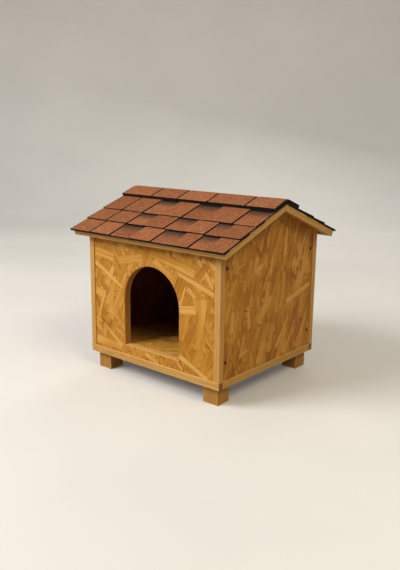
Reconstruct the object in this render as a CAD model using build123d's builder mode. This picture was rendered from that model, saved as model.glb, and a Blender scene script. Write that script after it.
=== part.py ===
from build123d import *
from math import atan, cos, degrees, radians, sin, tan
import os

# A cat house of strand board and softwood on four feet. Its shingled roof lifts off for cleaning.
# Millimetres, +Z up. The doorway faces -Y and the gables face -X and +X.
# The origin is on the ground, under the middle of the house.

# Base
house_width = 500
house_depth = 464
foot_width = 50
foot_depth = 50
foot_height = 51
foot_inset = 15.5
rail_height = 21
bearer_width = 38
bearer_height = 38
joist_width = 38
floor_thickness = 12
floor_gap = 1

# Walls
post_size = 18
wall_thickness = 15
lining_thickness = 8
lining_gap = 0.5
corner_batten_size = 25
batten_headroom = 8
door_width = 212
door_height = 247
door_edge_round = 1.5
edge_round = 1

# Roof frame
eave_height = 427
eave_overhang = 30
gable_overhang = 36
roof_pitch = 21
deck_thickness = 12
edge_board_size = 18
rafter_width = 18
rafter_depth = 28
rafter_gap = 3
gusset_thickness = 9
gusset_width = 180
gusset_drop = 60
gusset_gap = 1
seat_gap = 0.3

# Roof covering
shingle_thickness = 3
eave_shingle_overhang = 8
gable_shingle_overhang = 4
starter_thickness = 2
starter_width = 22
course_exposure = 70
head_lap = 40
laying_gap = 0.1
ridge_gap = 3
slot_width = 3.5
slot_run_under = 6
plain_tab_count = 2
thin_tab_step = 1
underlay_thickness = 3
underlay_setback = 2
cap_thickness = 7
cap_leg = 62
cap_bend_radius = 5

# The tabs of each course, bottom course first, seen from the eave and from left to right.
# They are cut by hand to uneven widths, so each number is a tab's share of its course.
course_tab_shares = [
    [86, 82, 80, 80, 76, 58, 56, 62],
    [84, 88, 66, 80, 70, 74, 48, 70],
    [84, 88, 72, 80, 82, 96, 78],
]
cap_shares = [128, 105, 114, 134, 99]

# Screws and nails
shank_radius = 1.75
head_radius = 4
head_rim = 0.4
head_cone_angle = 90
head_sink = 0.5
head_clearance = 0.1
hole_clearance = 0.05
hole_end_room = 1
tip_length = 4
recess_length = 4
recess_width = 1
recess_depth = 1.5
wall_screw_length = 35
frame_screw_length = 50
foot_screw_length = 60
floor_screw_length = 40
deck_screw_length = 35
lining_screw_length = 16
lining_shank_radius = 1.5
lining_head_radius = 3
nail_length = 14
nail_shank_radius = 1.25
nail_head_radius = 4
nail_head_thickness = 1
nail_tip_length = 2

# Where the screws and nails stand
screw_end_distance = 20
screw_stagger = 42
cross_rail_screw_spacing = 300
side_rail_screw_spacing = 240
bearer_screw_spacing = 160
foot_screw_spacing = 25
foot_counterbore_depth = 12
foot_counterbore_radius = 6
floor_screw_spacing = 300
floor_side_screw_spacing = 120
joist_screw_spacing = 200
lining_screw_margin = 40
lining_screw_spacing = 130
deck_screw_margin = 25
nails_per_course = 4
nail_spacing = 120

# Worked out from the sizes above
half_width = house_width / 2
half_depth = house_depth / 2
board_recess = post_size - wall_thickness
wall_bottom = foot_height + rail_height
bearer_top = foot_height + bearer_height
floor_top = bearer_top + floor_thickness
door_top = floor_top + door_height
pitch = radians(roof_pitch)
eave_reach = half_depth + eave_overhang
roof_half_length = half_width + gable_overhang
slope_length = eave_reach / cos(pitch)
covered_length = slope_length + eave_shingle_overhang
shingle_half_length = roof_half_length + gable_shingle_overhang

sides = [(-1, "left"), (1, "right")]
faces = [(-1, "front"), (1, "rear")]

os.makedirs("parts", exist_ok=True)


def save(piece, name):
    """Labels a finished piece and writes its file."""
    piece.part.label = name
    export_step(piece.part, f"parts/{name}.step")


def slope_plane(face, run_up, lift, tilt=0):
    """Plane on the roof's front (face -1) or rear (face 1) slope.

    Its X runs along the eave, its Y up the slope and its Z out of the roof. The origin is run_up
    from the deck's eave edge and lift above the deck's top. Tilt lays it flatter, in radians.
    """
    angle = pitch - tilt
    y = face * (eave_reach - run_up * cos(pitch) + lift * sin(pitch))
    z = eave_height + run_up * sin(pitch) + lift * cos(pitch)
    return Plane(origin=(0, y, z), x_dir=(-face, 0, 0), z_dir=(0, face * sin(angle), cos(angle)))


def deck_underside(y, gap=0):
    """Height of the underside of the roof deck at a distance from the ridge line, less a gap."""
    return eave_height + (eave_reach - abs(y)) * tan(pitch) - (deck_thickness + gap) / cos(pitch)


def ridge_side(face):
    """Upright plane under the ridge, whose normal points away from the slope on that face."""
    return Plane(origin=(0, 0, 0), z_dir=(0, -face, 0))


def head_spot(x, y, z, outward):
    """Where a screw's head meets the wood's surface, with Z pointing out of the wood."""
    return Plane(origin=(x, y, z), z_dir=outward).location


def clear_holes(spots, length, radius=shank_radius):
    """Cuts plain holes for screws of one length into the piece being made."""
    with Locations(*spots):
        Hole(radius + hole_clearance, depth=length + head_sink + hole_end_room)


def sunk_holes(spots, length, radius=shank_radius, head=head_radius):
    """Cuts holes whose mouths take the conical heads."""
    mouth_radius = head + head_rim + head_clearance + head_sink
    with Locations(*spots):
        CounterSinkHole(
            radius + hole_clearance,
            mouth_radius,
            depth=length + head_sink + hole_end_room,
            counter_sink_angle=head_cone_angle,
        )


def make_screw(length, radius, head):
    """Countersunk screw that points down -Z from the middle of its head."""
    cone_end = head_rim + (head - radius) / tan(radians(head_cone_angle / 2))
    with BuildPart() as screw:
        with BuildSketch(Plane.XZ):
            with BuildLine():
                Polyline(
                    (0, 0),
                    (head, 0),
                    (head, -head_rim),
                    (radius, -cone_end),
                    (radius, -(length - tip_length)),
                    (0, -length),
                    (0, 0),
                )
            make_face()
        revolve(axis=Axis.Z)
        with BuildSketch(Plane.XY):
            Rectangle(recess_length, recess_width)
            Rectangle(recess_width, recess_length)
        extrude(amount=-recess_depth, mode=Mode.SUBTRACT)
    return screw.part


def sunk_by(spots, depth):
    """Moves head spots into the wood by a depth."""
    return [spot * Location((0, 0, -depth)) for spot in spots]


def both(distance):
    """The same distance to either side of the middle."""
    return (-distance, distance)


down = (0, 0, -1)
up = (0, 0, 1)

# Middle lines of what the screws go into
post_middle_x = half_width - post_size / 2
post_middle_y = half_depth - post_size / 2
wall_middle_x = half_width - board_recess - wall_thickness / 2
wall_middle_y = half_depth - board_recess - wall_thickness / 2
bearer_middle_x = half_width - post_size - bearer_width / 2
bearer_middle_y = half_depth - post_size - bearer_width / 2
batten_middle_x = half_width - post_size - corner_batten_size / 2
batten_middle_y = half_depth - post_size - corner_batten_size / 2
foot_middle_x = half_width - foot_inset - foot_width / 2
foot_middle_y = half_depth - foot_inset - foot_depth / 2
rail_middle_z = foot_height + rail_height / 2
door_middle_z = floor_top + door_height / 2

# From below, up through the rails into the posts, the front and rear walls, and the gable walls
post_screws = {
    face: [head_spot(x, face * post_middle_y, foot_height, down) for x in both(post_middle_x)]
    for face, _ in faces
}
wall_foot_screws = {
    face: [
        head_spot(x, face * wall_middle_y, foot_height, down)
        for x in both(cross_rail_screw_spacing / 2)
    ]
    for face, _ in faces
}
gable_foot_screws = {
    side: [
        head_spot(side * wall_middle_x, y, foot_height, down)
        for y in both(side_rail_screw_spacing / 2)
    ]
    for side, _ in sides
}

# From inside the base, through the bearers into the rails
cross_bearer_screws = {
    face: [
        head_spot(x, face * (bearer_middle_y - bearer_width / 2), rail_middle_z, (0, -face, 0))
        for x in both(bearer_screw_spacing / 2)
    ]
    for face, _ in faces
}
side_bearer_screws = {
    side: [
        head_spot(side * (bearer_middle_x - bearer_width / 2), y, rail_middle_z, (-side, 0, 0))
        for y in both(bearer_screw_spacing / 2)
    ]
    for side, _ in sides
}

# Up through the feet, and down through the floor
foot_screws = {
    (side, face): [
        head_spot(side * foot_middle_x + step, face * bearer_middle_y, foot_counterbore_depth, down)
        for step in both(foot_screw_spacing / 2)
    ]
    for side, _ in sides
    for face, _ in faces
}
floor_cross_screws = {
    face: [
        head_spot(x, face * bearer_middle_y, floor_top, up)
        for x in both(floor_screw_spacing / 2)
    ]
    for face, _ in faces
}
floor_side_screws = {
    side: [
        head_spot(side * bearer_middle_x, y, floor_top, up)
        for y in both(floor_side_screw_spacing / 2)
    ]
    for side, _ in sides
}
floor_joist_screws = [head_spot(0, y, floor_top, up) for y in both(joist_screw_spacing / 2)]

# Through the gable walls into the corner battens, and from the battens into the front and rear
# walls. The battens end below the rafters' feet, so that the roof can sit down.
rafter_foot_y = half_depth - post_size - rafter_gap
rafter_foot_bottom = deck_underside(rafter_foot_y, rafter_depth)
batten_top = rafter_foot_bottom - batten_headroom
low_screw = floor_top + screw_end_distance
high_screw = batten_top - screw_end_distance
gable_screws = {
    side: [
        head_spot(side * (half_width - board_recess), y, z, (side, 0, 0))
        for y in both(batten_middle_y)
        for z in (low_screw, high_screw)
    ]
    for side, _ in sides
}
wall_screws = {
    face: [
        head_spot(x, face * (batten_middle_y - corner_batten_size / 2), z, (0, -face, 0))
        for x in both(batten_middle_x)
        for z in (low_screw + screw_stagger, high_screw - screw_stagger)
    ]
    for face, _ in faces
}
lining_screws = [
    head_spot(x, -(half_depth - post_size - lining_thickness), door_middle_z + step, (0, 1, 0))
    for x in both(door_width / 2 + lining_screw_margin)
    for step in both(lining_screw_spacing / 2)
]

# Feet
for side, side_name in sides:
    for face, face_name in faces:
        with BuildPart() as foot:
            with BuildSketch():
                with Locations((side * foot_middle_x, face * foot_middle_y)):
                    Rectangle(foot_width, foot_depth)
            extrude(amount=foot_height)
            fillet(foot.edges().filter_by(Axis.Z), edge_round)
            with Locations(*sunk_by(foot_screws[side, face], -foot_counterbore_depth)):
                CounterBoreHole(
                    shank_radius + hole_clearance,
                    foot_counterbore_radius,
                    foot_counterbore_depth,
                    depth=foot_height,
                )
            sunk_holes(foot_screws[side, face], foot_screw_length)
        save(foot, f"{face_name}_{side_name}_foot")

# Base rails: the front and rear ones run the full width, the side ones fit between them
for face, face_name in faces:
    with BuildPart() as cross_rail:
        with BuildSketch(Plane.XY.offset(foot_height)):
            with Locations((0, face * post_middle_y)):
                Rectangle(house_width, post_size)
        extrude(amount=rail_height)
        fillet(cross_rail.edges().filter_by(Axis.X), edge_round)
        sunk_holes(post_screws[face] + wall_foot_screws[face], frame_screw_length)
        clear_holes(cross_bearer_screws[face], frame_screw_length)
    save(cross_rail, f"{face_name}_rail")

for side, side_name in sides:
    with BuildPart() as side_rail:
        with BuildSketch(Plane.XY.offset(foot_height)):
            with Locations((side * post_middle_x, 0)):
                Rectangle(post_size, house_depth - 2 * post_size)
        extrude(amount=rail_height)
        fillet(side_rail.edges().filter_by(Axis.Y), edge_round)
        sunk_holes(gable_foot_screws[side], frame_screw_length)
        clear_holes(side_bearer_screws[side], frame_screw_length)
    save(side_rail, f"{side_name}_rail")

# Bearers inside the rails, which stand on the feet and carry the floor
inner_length = 2 * (half_depth - post_size - bearer_width)
for face, face_name in faces:
    with BuildPart() as cross_bearer:
        with BuildSketch(Plane.XY.offset(foot_height)):
            with Locations((0, face * bearer_middle_y)):
                Rectangle(house_width - 2 * post_size, bearer_width)
        extrude(amount=bearer_height)
        sunk_holes(cross_bearer_screws[face], frame_screw_length)
        clear_holes(floor_cross_screws[face], floor_screw_length)
        for side, _ in sides:
            clear_holes(foot_screws[side, face], foot_screw_length)
    save(cross_bearer, f"{face_name}_bearer")

for side, side_name in sides:
    with BuildPart() as side_bearer:
        with BuildSketch(Plane.XY.offset(foot_height)):
            with Locations((side * bearer_middle_x, 0)):
                Rectangle(bearer_width, inner_length)
        extrude(amount=bearer_height)
        sunk_holes(side_bearer_screws[side], frame_screw_length)
        clear_holes(floor_side_screws[side], floor_screw_length)
    save(side_bearer, f"{side_name}_bearer")

with BuildPart() as middle_joist:
    with BuildSketch(Plane.XY.offset(foot_height)):
        Rectangle(joist_width, inner_length)
    extrude(amount=bearer_height)
    clear_holes(floor_joist_screws, floor_screw_length)
save(middle_joist, "middle_joist")

# Floor panel, behind the front lining
floor_front = -(half_depth - post_size - lining_thickness - floor_gap)
floor_rear = half_depth - post_size - floor_gap
floor_half_width = half_width - post_size - floor_gap
with BuildPart() as floor_panel:
    with BuildSketch(Plane.XY.offset(bearer_top)):
        with Locations((0, (floor_front + floor_rear) / 2)):
            Rectangle(2 * floor_half_width, floor_rear - floor_front)
    extrude(amount=floor_thickness)
    for face, _ in faces:
        sunk_holes(floor_cross_screws[face], floor_screw_length)
    for side, _ in sides:
        sunk_holes(floor_side_screws[side], floor_screw_length)
    sunk_holes(floor_joist_screws, floor_screw_length)
save(floor_panel, "floor_panel")

# Corner posts on the rails, with their tops cut to the roof's slope
for side, side_name in sides:
    for face, face_name in faces:
        with BuildPart() as post:
            with BuildSketch(Plane.XY.offset(wall_bottom)):
                with Locations((side * post_middle_x, face * post_middle_y)):
                    Rectangle(post_size, post_size)
            extrude(amount=eave_height)
            fillet(post.edges().filter_by(Axis.Z), edge_round)
            split(bisect_by=slope_plane(face, 0, -deck_thickness - seat_gap), keep=Keep.BOTTOM)
            clear_holes(post_screws[face], frame_screw_length)
        save(post, f"{face_name}_{side_name}_post")

# Corner battens inside the walls, standing on the floor
for side, side_name in sides:
    for face, face_name in faces:
        with BuildPart() as corner_batten:
            with BuildSketch(Plane.XY.offset(floor_top)):
                with Locations((side * batten_middle_x, face * batten_middle_y)):
                    Rectangle(corner_batten_size, corner_batten_size)
            extrude(amount=batten_top - floor_top)
            clear_holes(gable_screws[side], wall_screw_length)
            sunk_holes(wall_screws[face], wall_screw_length)
        save(corner_batten, f"{face_name}_{side_name}_batten")

# Gable walls
gable_half_depth = half_depth - post_size
gable_outline = [
    (-gable_half_depth, wall_bottom),
    (gable_half_depth, wall_bottom),
    (gable_half_depth, deck_underside(gable_half_depth, seat_gap)),
    (0, deck_underside(0, seat_gap)),
    (-gable_half_depth, deck_underside(gable_half_depth, seat_gap)),
]
for side, side_name in sides:
    with BuildPart() as gable_wall:
        with BuildSketch(Plane.YZ.offset(side * (half_width - board_recess))):
            Polygon(*gable_outline, align=None)
        extrude(amount=-side * wall_thickness)
        sunk_holes(gable_screws[side], wall_screw_length)
        clear_holes(gable_foot_screws[side], frame_screw_length)
    save(gable_wall, f"{side_name}_gable_wall")


def door_outline():
    """Draws the arched doorway in the sketch being made, on a plane that faces +Y or -Y."""
    spring = door_top - door_width / 2
    with Locations((0, (floor_top + spring) / 2)):
        Rectangle(door_width, spring - floor_top)
    with Locations((0, spring)):
        Circle(door_width / 2)


# Front wall with the doorway, its inner lining, and the plain rear wall
front_outer = Plane.XZ.offset(half_depth - board_recess)
with BuildPart() as front_wall:
    with BuildSketch(front_outer):
        with Locations((0, wall_bottom)):
            Rectangle(house_width - 2 * post_size, eave_height, align=(Align.CENTER, Align.MIN))
    extrude(amount=-wall_thickness)
    split(bisect_by=slope_plane(-1, 0, -deck_thickness - seat_gap), keep=Keep.BOTTOM)
    with BuildSketch(front_outer):
        door_outline()
    extrude(amount=-wall_thickness, mode=Mode.SUBTRACT)
    outer_face = front_wall.faces().sort_by(Axis.Y)[0]
    fillet(outer_face.inner_wires().edges(), door_edge_round)
    clear_holes(wall_screws[-1], wall_screw_length)
    clear_holes(wall_foot_screws[-1], frame_screw_length)
    clear_holes(lining_screws, lining_screw_length, lining_shank_radius)
save(front_wall, "front_wall")

lining_outer = Plane.XZ.offset(half_depth - post_size)
lining_half_width = half_width - post_size - corner_batten_size - lining_gap
with BuildPart() as front_lining:
    with BuildSketch(lining_outer):
        with Locations((0, bearer_top)):
            Rectangle(2 * lining_half_width, eave_height, align=(Align.CENTER, Align.MIN))
    extrude(amount=-lining_thickness)
    split(bisect_by=slope_plane(-1, 0, -deck_thickness - seat_gap), keep=Keep.BOTTOM)
    with BuildSketch(lining_outer):
        door_outline()
    extrude(amount=-lining_thickness, mode=Mode.SUBTRACT)
    sunk_holes(lining_screws, lining_screw_length, lining_shank_radius, lining_head_radius)
save(front_lining, "front_lining")

with BuildPart() as rear_wall:
    with BuildSketch(Plane.XZ.offset(-(half_depth - board_recess))):
        with Locations((0, wall_bottom)):
            Rectangle(house_width - 2 * post_size, eave_height, align=(Align.CENTER, Align.MIN))
    extrude(amount=wall_thickness)
    split(bisect_by=slope_plane(1, 0, -deck_thickness - seat_gap), keep=Keep.BOTTOM)
    clear_holes(wall_screws[1], wall_screw_length)
    clear_holes(wall_foot_screws[1], frame_screw_length)
save(rear_wall, "rear_wall")

# How the courses lie. Each rests its head on the deck and its butt on what lies below it, so it is
# laid a little flatter than the deck.
last_exposure = covered_length - 2 * course_exposure - cap_leg
courses = []
start = 0
below_head, below_thickness, below_rise = starter_width, starter_thickness, 0
for tab_shares, exposure in zip(course_tab_shares, (course_exposure, course_exposure, last_exposure)):
    is_last = tab_shares is course_tab_shares[-1]
    head = covered_length - ridge_gap if is_last else start + exposure + head_lap
    step_height = below_thickness + laying_gap
    rise_over_edge = step_height / (head - below_head)
    rise_over_butt = (step_height + (below_head - start) * below_rise) / (head - start)
    rise = max(rise_over_edge, rise_over_butt)
    courses.append(
        {
            "start": start - eave_shingle_overhang,
            "exposure": exposure,
            "length": head - start,
            "lift": rise * (head - start),
            "tilt": atan(rise),
            "tab_shares": tab_shares,
        }
    )
    start += exposure
    below_head, below_thickness, below_rise = head, shingle_thickness, rise


def course_plane(face, course):
    """Plane of the underside of a course, with its origin in the middle of the butt edge."""
    return slope_plane(face, course["start"], course["lift"], course["tilt"])


def share_edges(shares, half_length):
    """Where the pieces that share a length begin and end, from -half_length to half_length."""
    edges = [-half_length]
    for share in shares:
        edges.append(edges[-1] + 2 * half_length * share / sum(shares))
    return edges


def is_thin(tab):
    """After the first plain tabs, every second one shows the lower ply and lies a step deeper."""
    return tab >= plain_tab_count and (tab - plain_tab_count) % 2 == 0


def nail_spots(face, course):
    """Where the nails of a course go, under the lap of the next course."""
    plane = course_plane(face, course).offset(shingle_thickness)
    reach = course["exposure"] + head_lap / 2
    middle = (nails_per_course - 1) / 2
    return [
        plane.location * Location(((count - middle) * nail_spacing, reach, 0))
        for count in range(nails_per_course)
    ]


# Roof decks, with countersunk screws into the rafters under them
rafter_middle_x = half_width - post_size - rafter_gap - rafter_width / 2
rafter_foot_run = (eave_reach - rafter_foot_y) / cos(pitch)
deck_screw_runs = [
    rafter_foot_run + deck_screw_margin,
    (rafter_foot_run + slope_length) / 2,
    slope_length - deck_screw_margin,
]
deck_screws = {
    face: [
        slope_plane(face, 0, 0).location * Location((side * rafter_middle_x, run, 0))
        for side, _ in sides
        for run in deck_screw_runs
    ]
    for face, _ in faces
}
deck_half_length = roof_half_length - edge_board_size
for face, face_name in faces:
    with BuildPart() as deck:
        with BuildSketch(slope_plane(face, edge_board_size, 0)):
            Rectangle(2 * deck_half_length, slope_length, align=(Align.CENTER, Align.MIN))
        extrude(amount=-deck_thickness)
        split(bisect_by=ridge_side(face), keep=Keep.BOTTOM)
        sunk_holes(deck_screws[face], deck_screw_length)
        for course in courses:
            clear_holes(nail_spots(face, course), nail_length, nail_shank_radius)
    save(deck, f"{face_name}_deck")

# Edge boards: a fascia at each eave and a barge board up each gable, mitred at the corners
for face, face_name in faces:
    with BuildPart() as fascia:
        with BuildSketch(slope_plane(face, 0, 0)):
            Polygon(
                (-roof_half_length, 0),
                (roof_half_length, 0),
                (deck_half_length, edge_board_size),
                (-deck_half_length, edge_board_size),
                align=None,
            )
        extrude(amount=-edge_board_size)
        fillet(fascia.edges().filter_by(Axis.X), edge_round)
    save(fascia, f"{face_name}_fascia")

for face, face_name in faces:
    plane = slope_plane(face, 0, 0)
    for side, side_name in sides:
        across = -face * side
        with BuildPart() as barge_board:
            with BuildSketch(plane):
                Polygon(
                    (across * roof_half_length, 0),
                    (across * roof_half_length, 2 * slope_length),
                    (across * deck_half_length, 2 * slope_length),
                    (across * deck_half_length, edge_board_size),
                    align=None,
                )
            extrude(amount=-edge_board_size)
            up_slope = Axis(plane.origin, plane.y_dir)
            fillet(barge_board.edges().filter_by(up_slope), edge_round)
            split(bisect_by=ridge_side(face), keep=Keep.BOTTOM)
        save(barge_board, f"{face_name}_{side_name}_barge_board")

# Rafters just inside the gable walls. They locate the roof and meet under the ridge.
for face, face_name in faces:
    foot_plane = Plane(origin=(0, face * rafter_foot_y, 0), z_dir=(0, face, 0))
    for side, side_name in sides:
        with BuildPart() as rafter:
            with BuildSketch(slope_plane(face, 0, -deck_thickness)):
                with Locations((-face * side * rafter_middle_x, 0)):
                    Rectangle(rafter_width, 2 * slope_length, align=(Align.CENTER, Align.MIN))
            extrude(amount=-rafter_depth)
            split(bisect_by=ridge_side(face), keep=Keep.BOTTOM)
            split(bisect_by=foot_plane, keep=Keep.BOTTOM)
            clear_holes(deck_screws[face], deck_screw_length)
        save(rafter, f"{face_name}_{side_name}_rafter")

# Gusset plates that join each pair of rafters
gusset_top = deck_underside(0, gusset_gap)
gusset_shoulder = deck_underside(gusset_width / 2, gusset_gap)
gusset_bottom = gusset_top - gusset_drop
for side, side_name in sides:
    with BuildPart() as gusset:
        with BuildSketch(Plane.YZ.offset(side * (rafter_middle_x - rafter_width / 2))):
            Polygon(
                (-gusset_width / 2, gusset_bottom),
                (gusset_width / 2, gusset_bottom),
                (gusset_width / 2, gusset_shoulder),
                (0, gusset_top),
                (-gusset_width / 2, gusset_shoulder),
                align=None,
            )
        extrude(amount=-side * gusset_thickness)
    save(gusset, f"{side_name}_gusset")

# Starter strips along the eaves
for face, face_name in faces:
    with BuildPart() as starter:
        with BuildSketch(slope_plane(face, -eave_shingle_overhang, 0)):
            Rectangle(2 * shingle_half_length, starter_width, align=(Align.CENTER, Align.MIN))
        extrude(amount=starter_thickness)
    save(starter, f"{face_name}_starter_strip")

# Shingle courses. Slots part the tabs, and a shallow step marks each tab of the lower ply.
for face, face_name in faces:
    for number, course in enumerate(courses, start=1):
        plane = course_plane(face, course)
        edges = share_edges(course["tab_shares"], shingle_half_length)
        open_length = course["exposure"] + slot_run_under
        with BuildPart() as shingles:
            with BuildSketch(plane):
                Rectangle(2 * shingle_half_length, course["length"], align=(Align.CENTER, Align.MIN))
                for tab, edge in enumerate(edges[1:-1]):
                    if not is_thin(tab):
                        with Locations((edge, 0)):
                            Rectangle(
                                slot_width,
                                open_length,
                                align=(Align.CENTER, Align.MIN),
                                mode=Mode.SUBTRACT,
                            )
            extrude(amount=shingle_thickness)
            with BuildSketch(plane.offset(shingle_thickness)):
                for tab in range(len(edges) - 1):
                    if is_thin(tab):
                        with Locations((edges[tab], 0)):
                            Rectangle(
                                edges[tab + 1] - edges[tab],
                                open_length,
                                align=(Align.MIN, Align.MIN),
                            )
            extrude(amount=-thin_tab_step, mode=Mode.SUBTRACT)
            with Locations(*nail_spots(face, course)):
                CounterBoreHole(
                    nail_shank_radius + hole_clearance,
                    nail_head_radius + hole_clearance,
                    nail_head_thickness,
                )
        save(shingles, f"{face_name}_course_{number}")

# Folded strips over the ridge: an underlay, and five cap shingles side by side on it
top_course = courses[-1]
fold = pitch - top_course["tilt"]
top_origin = course_plane(1, top_course).offset(shingle_thickness).origin
underlay_bottom = top_origin.Z + top_origin.Y * tan(fold)


def folded_outline(bottom, leg, thickness):
    """Outline of a strip folded over the ridge, whose underside meets the middle at bottom."""
    foot_y = leg * cos(fold)
    foot_z = bottom - leg * sin(fold)
    edge_y = foot_y + thickness * sin(fold)
    edge_z = foot_z + thickness * cos(fold)
    return [
        (0, bottom),
        (foot_y, foot_z),
        (edge_y, edge_z),
        (0, bottom + thickness / cos(fold)),
        (-edge_y, edge_z),
        (-foot_y, foot_z),
    ]


with BuildPart() as ridge_underlay:
    with BuildSketch(Plane.YZ):
        Polygon(
            *folded_outline(underlay_bottom, cap_leg - underlay_setback, underlay_thickness),
            align=None,
        )
    extrude(amount=shingle_half_length, both=True)
save(ridge_underlay, "ridge_underlay")

cap_bottom = underlay_bottom + underlay_thickness / cos(fold)
cap_edges = share_edges(cap_shares, shingle_half_length)
with BuildPart() as ridge_caps:
    for left, right in zip(cap_edges[:-1], cap_edges[1:]):
        left_gap = 0 if left == cap_edges[0] else slot_width / 2
        right_gap = 0 if right == cap_edges[-1] else slot_width / 2
        with BuildSketch(Plane.YZ.offset(left + left_gap)) as cap_outline:
            Polygon(*folded_outline(cap_bottom, cap_leg, cap_thickness), align=None)
            fillet(cap_outline.vertices().sort_by(Axis.Y)[-1], cap_bend_radius)
        extrude(amount=right - right_gap - left - left_gap)
save(ridge_caps, "ridge_caps")

# Screws, each group of one length in one file


def every(places):
    """All the spots of a group that is kept by side or by face."""
    return [spot for spots in places.values() for spot in spots]


screw_groups = {
    "gable_wall_screws": (wall_screw_length, every(gable_screws)),
    "batten_screws": (wall_screw_length, every(wall_screws)),
    "rail_screws": (
        frame_screw_length,
        every(post_screws) + every(wall_foot_screws) + every(gable_foot_screws),
    ),
    "bearer_screws": (frame_screw_length, every(cross_bearer_screws) + every(side_bearer_screws)),
    "foot_screws": (foot_screw_length, every(foot_screws)),
    "floor_screws": (
        floor_screw_length,
        every(floor_cross_screws) + every(floor_side_screws) + floor_joist_screws,
    ),
    "deck_screws": (deck_screw_length, every(deck_screws)),
}
for name, (length, spots) in screw_groups.items():
    screw = make_screw(length, shank_radius, head_radius)
    with BuildPart() as screw_group:
        with Locations(*sunk_by(spots, head_sink)):
            add(screw)
    save(screw_group, name)

small_screw = make_screw(lining_screw_length, lining_shank_radius, lining_head_radius)
with BuildPart() as lining_screw_group:
    with Locations(*sunk_by(lining_screws, head_sink)):
        add(small_screw)
save(lining_screw_group, "lining_screws")

# Clout nails through the courses into the decks
with BuildPart() as nail:
    with BuildSketch(Plane.XZ):
        with BuildLine():
            Polyline(
                (0, 0),
                (nail_head_radius, 0),
                (nail_head_radius, -nail_head_thickness),
                (nail_shank_radius, -nail_head_thickness),
                (nail_shank_radius, -(nail_length - nail_tip_length)),
                (0, -nail_length),
                (0, 0),
            )
        make_face()
    revolve(axis=Axis.Z)
with BuildPart() as shingle_nails:
    for face, _ in faces:
        for course in courses:
            with Locations(*nail_spots(face, course)):
                add(nail.part)
save(shingle_nails, "shingle_nails")

print("ridge height", round(cap_bottom + cap_thickness / cos(fold), 1))
print("gable screw heights", round(low_screw, 1), round(high_screw, 1))
for number, course in enumerate(courses, start=1):
    print("course", number, "lies", round(degrees(course["tilt"]), 2), "degrees flatter than the deck")
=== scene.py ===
# %% [markdown]
# # A cat house of strand board with a shingled roof
#
# The real thing is a small outdoor house: strand board walls between softwood posts, four feet, and a
# shingled roof that lifts off. Its CAD model already has every board, strip and screw at its true size.
# This lesson dresses that model. Flat boards keep their CAD shape and get a finish of their own. Shingles
# and screws, which repeat, are laid again by node trees.
#
# The model is loaded first, because everything else is placed by it.

# %% Load the model
import math

import bmesh
import bpy
import numpy as np
from mathutils import Matrix, Vector


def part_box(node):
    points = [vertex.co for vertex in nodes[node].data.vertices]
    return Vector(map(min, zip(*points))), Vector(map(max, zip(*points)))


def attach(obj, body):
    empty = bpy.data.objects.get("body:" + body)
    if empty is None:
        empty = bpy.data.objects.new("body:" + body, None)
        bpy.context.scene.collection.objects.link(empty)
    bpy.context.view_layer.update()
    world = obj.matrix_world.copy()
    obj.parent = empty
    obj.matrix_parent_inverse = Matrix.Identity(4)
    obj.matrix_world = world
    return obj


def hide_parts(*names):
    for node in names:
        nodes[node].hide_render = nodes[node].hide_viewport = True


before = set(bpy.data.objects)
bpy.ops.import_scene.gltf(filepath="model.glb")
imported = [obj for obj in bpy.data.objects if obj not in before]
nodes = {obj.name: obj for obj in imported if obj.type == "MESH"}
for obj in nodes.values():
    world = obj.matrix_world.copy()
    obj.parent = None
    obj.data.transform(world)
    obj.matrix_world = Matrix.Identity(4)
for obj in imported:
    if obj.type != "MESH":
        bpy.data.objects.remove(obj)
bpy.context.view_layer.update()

mm = 0.001

# %% [markdown]
# ## A short way to write node trees
#
# A finish is a tree of nodes. Written out in full, each node takes four or five lines, so this class adds a
# node, plugs in what it needs and returns what it gives, in one call. A number that is given becomes the
# socket's value, and a socket that is given becomes a link. The same class writes shader trees and geometry
# trees, because both have the same mathematics in them.

# %% One node a call


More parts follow.
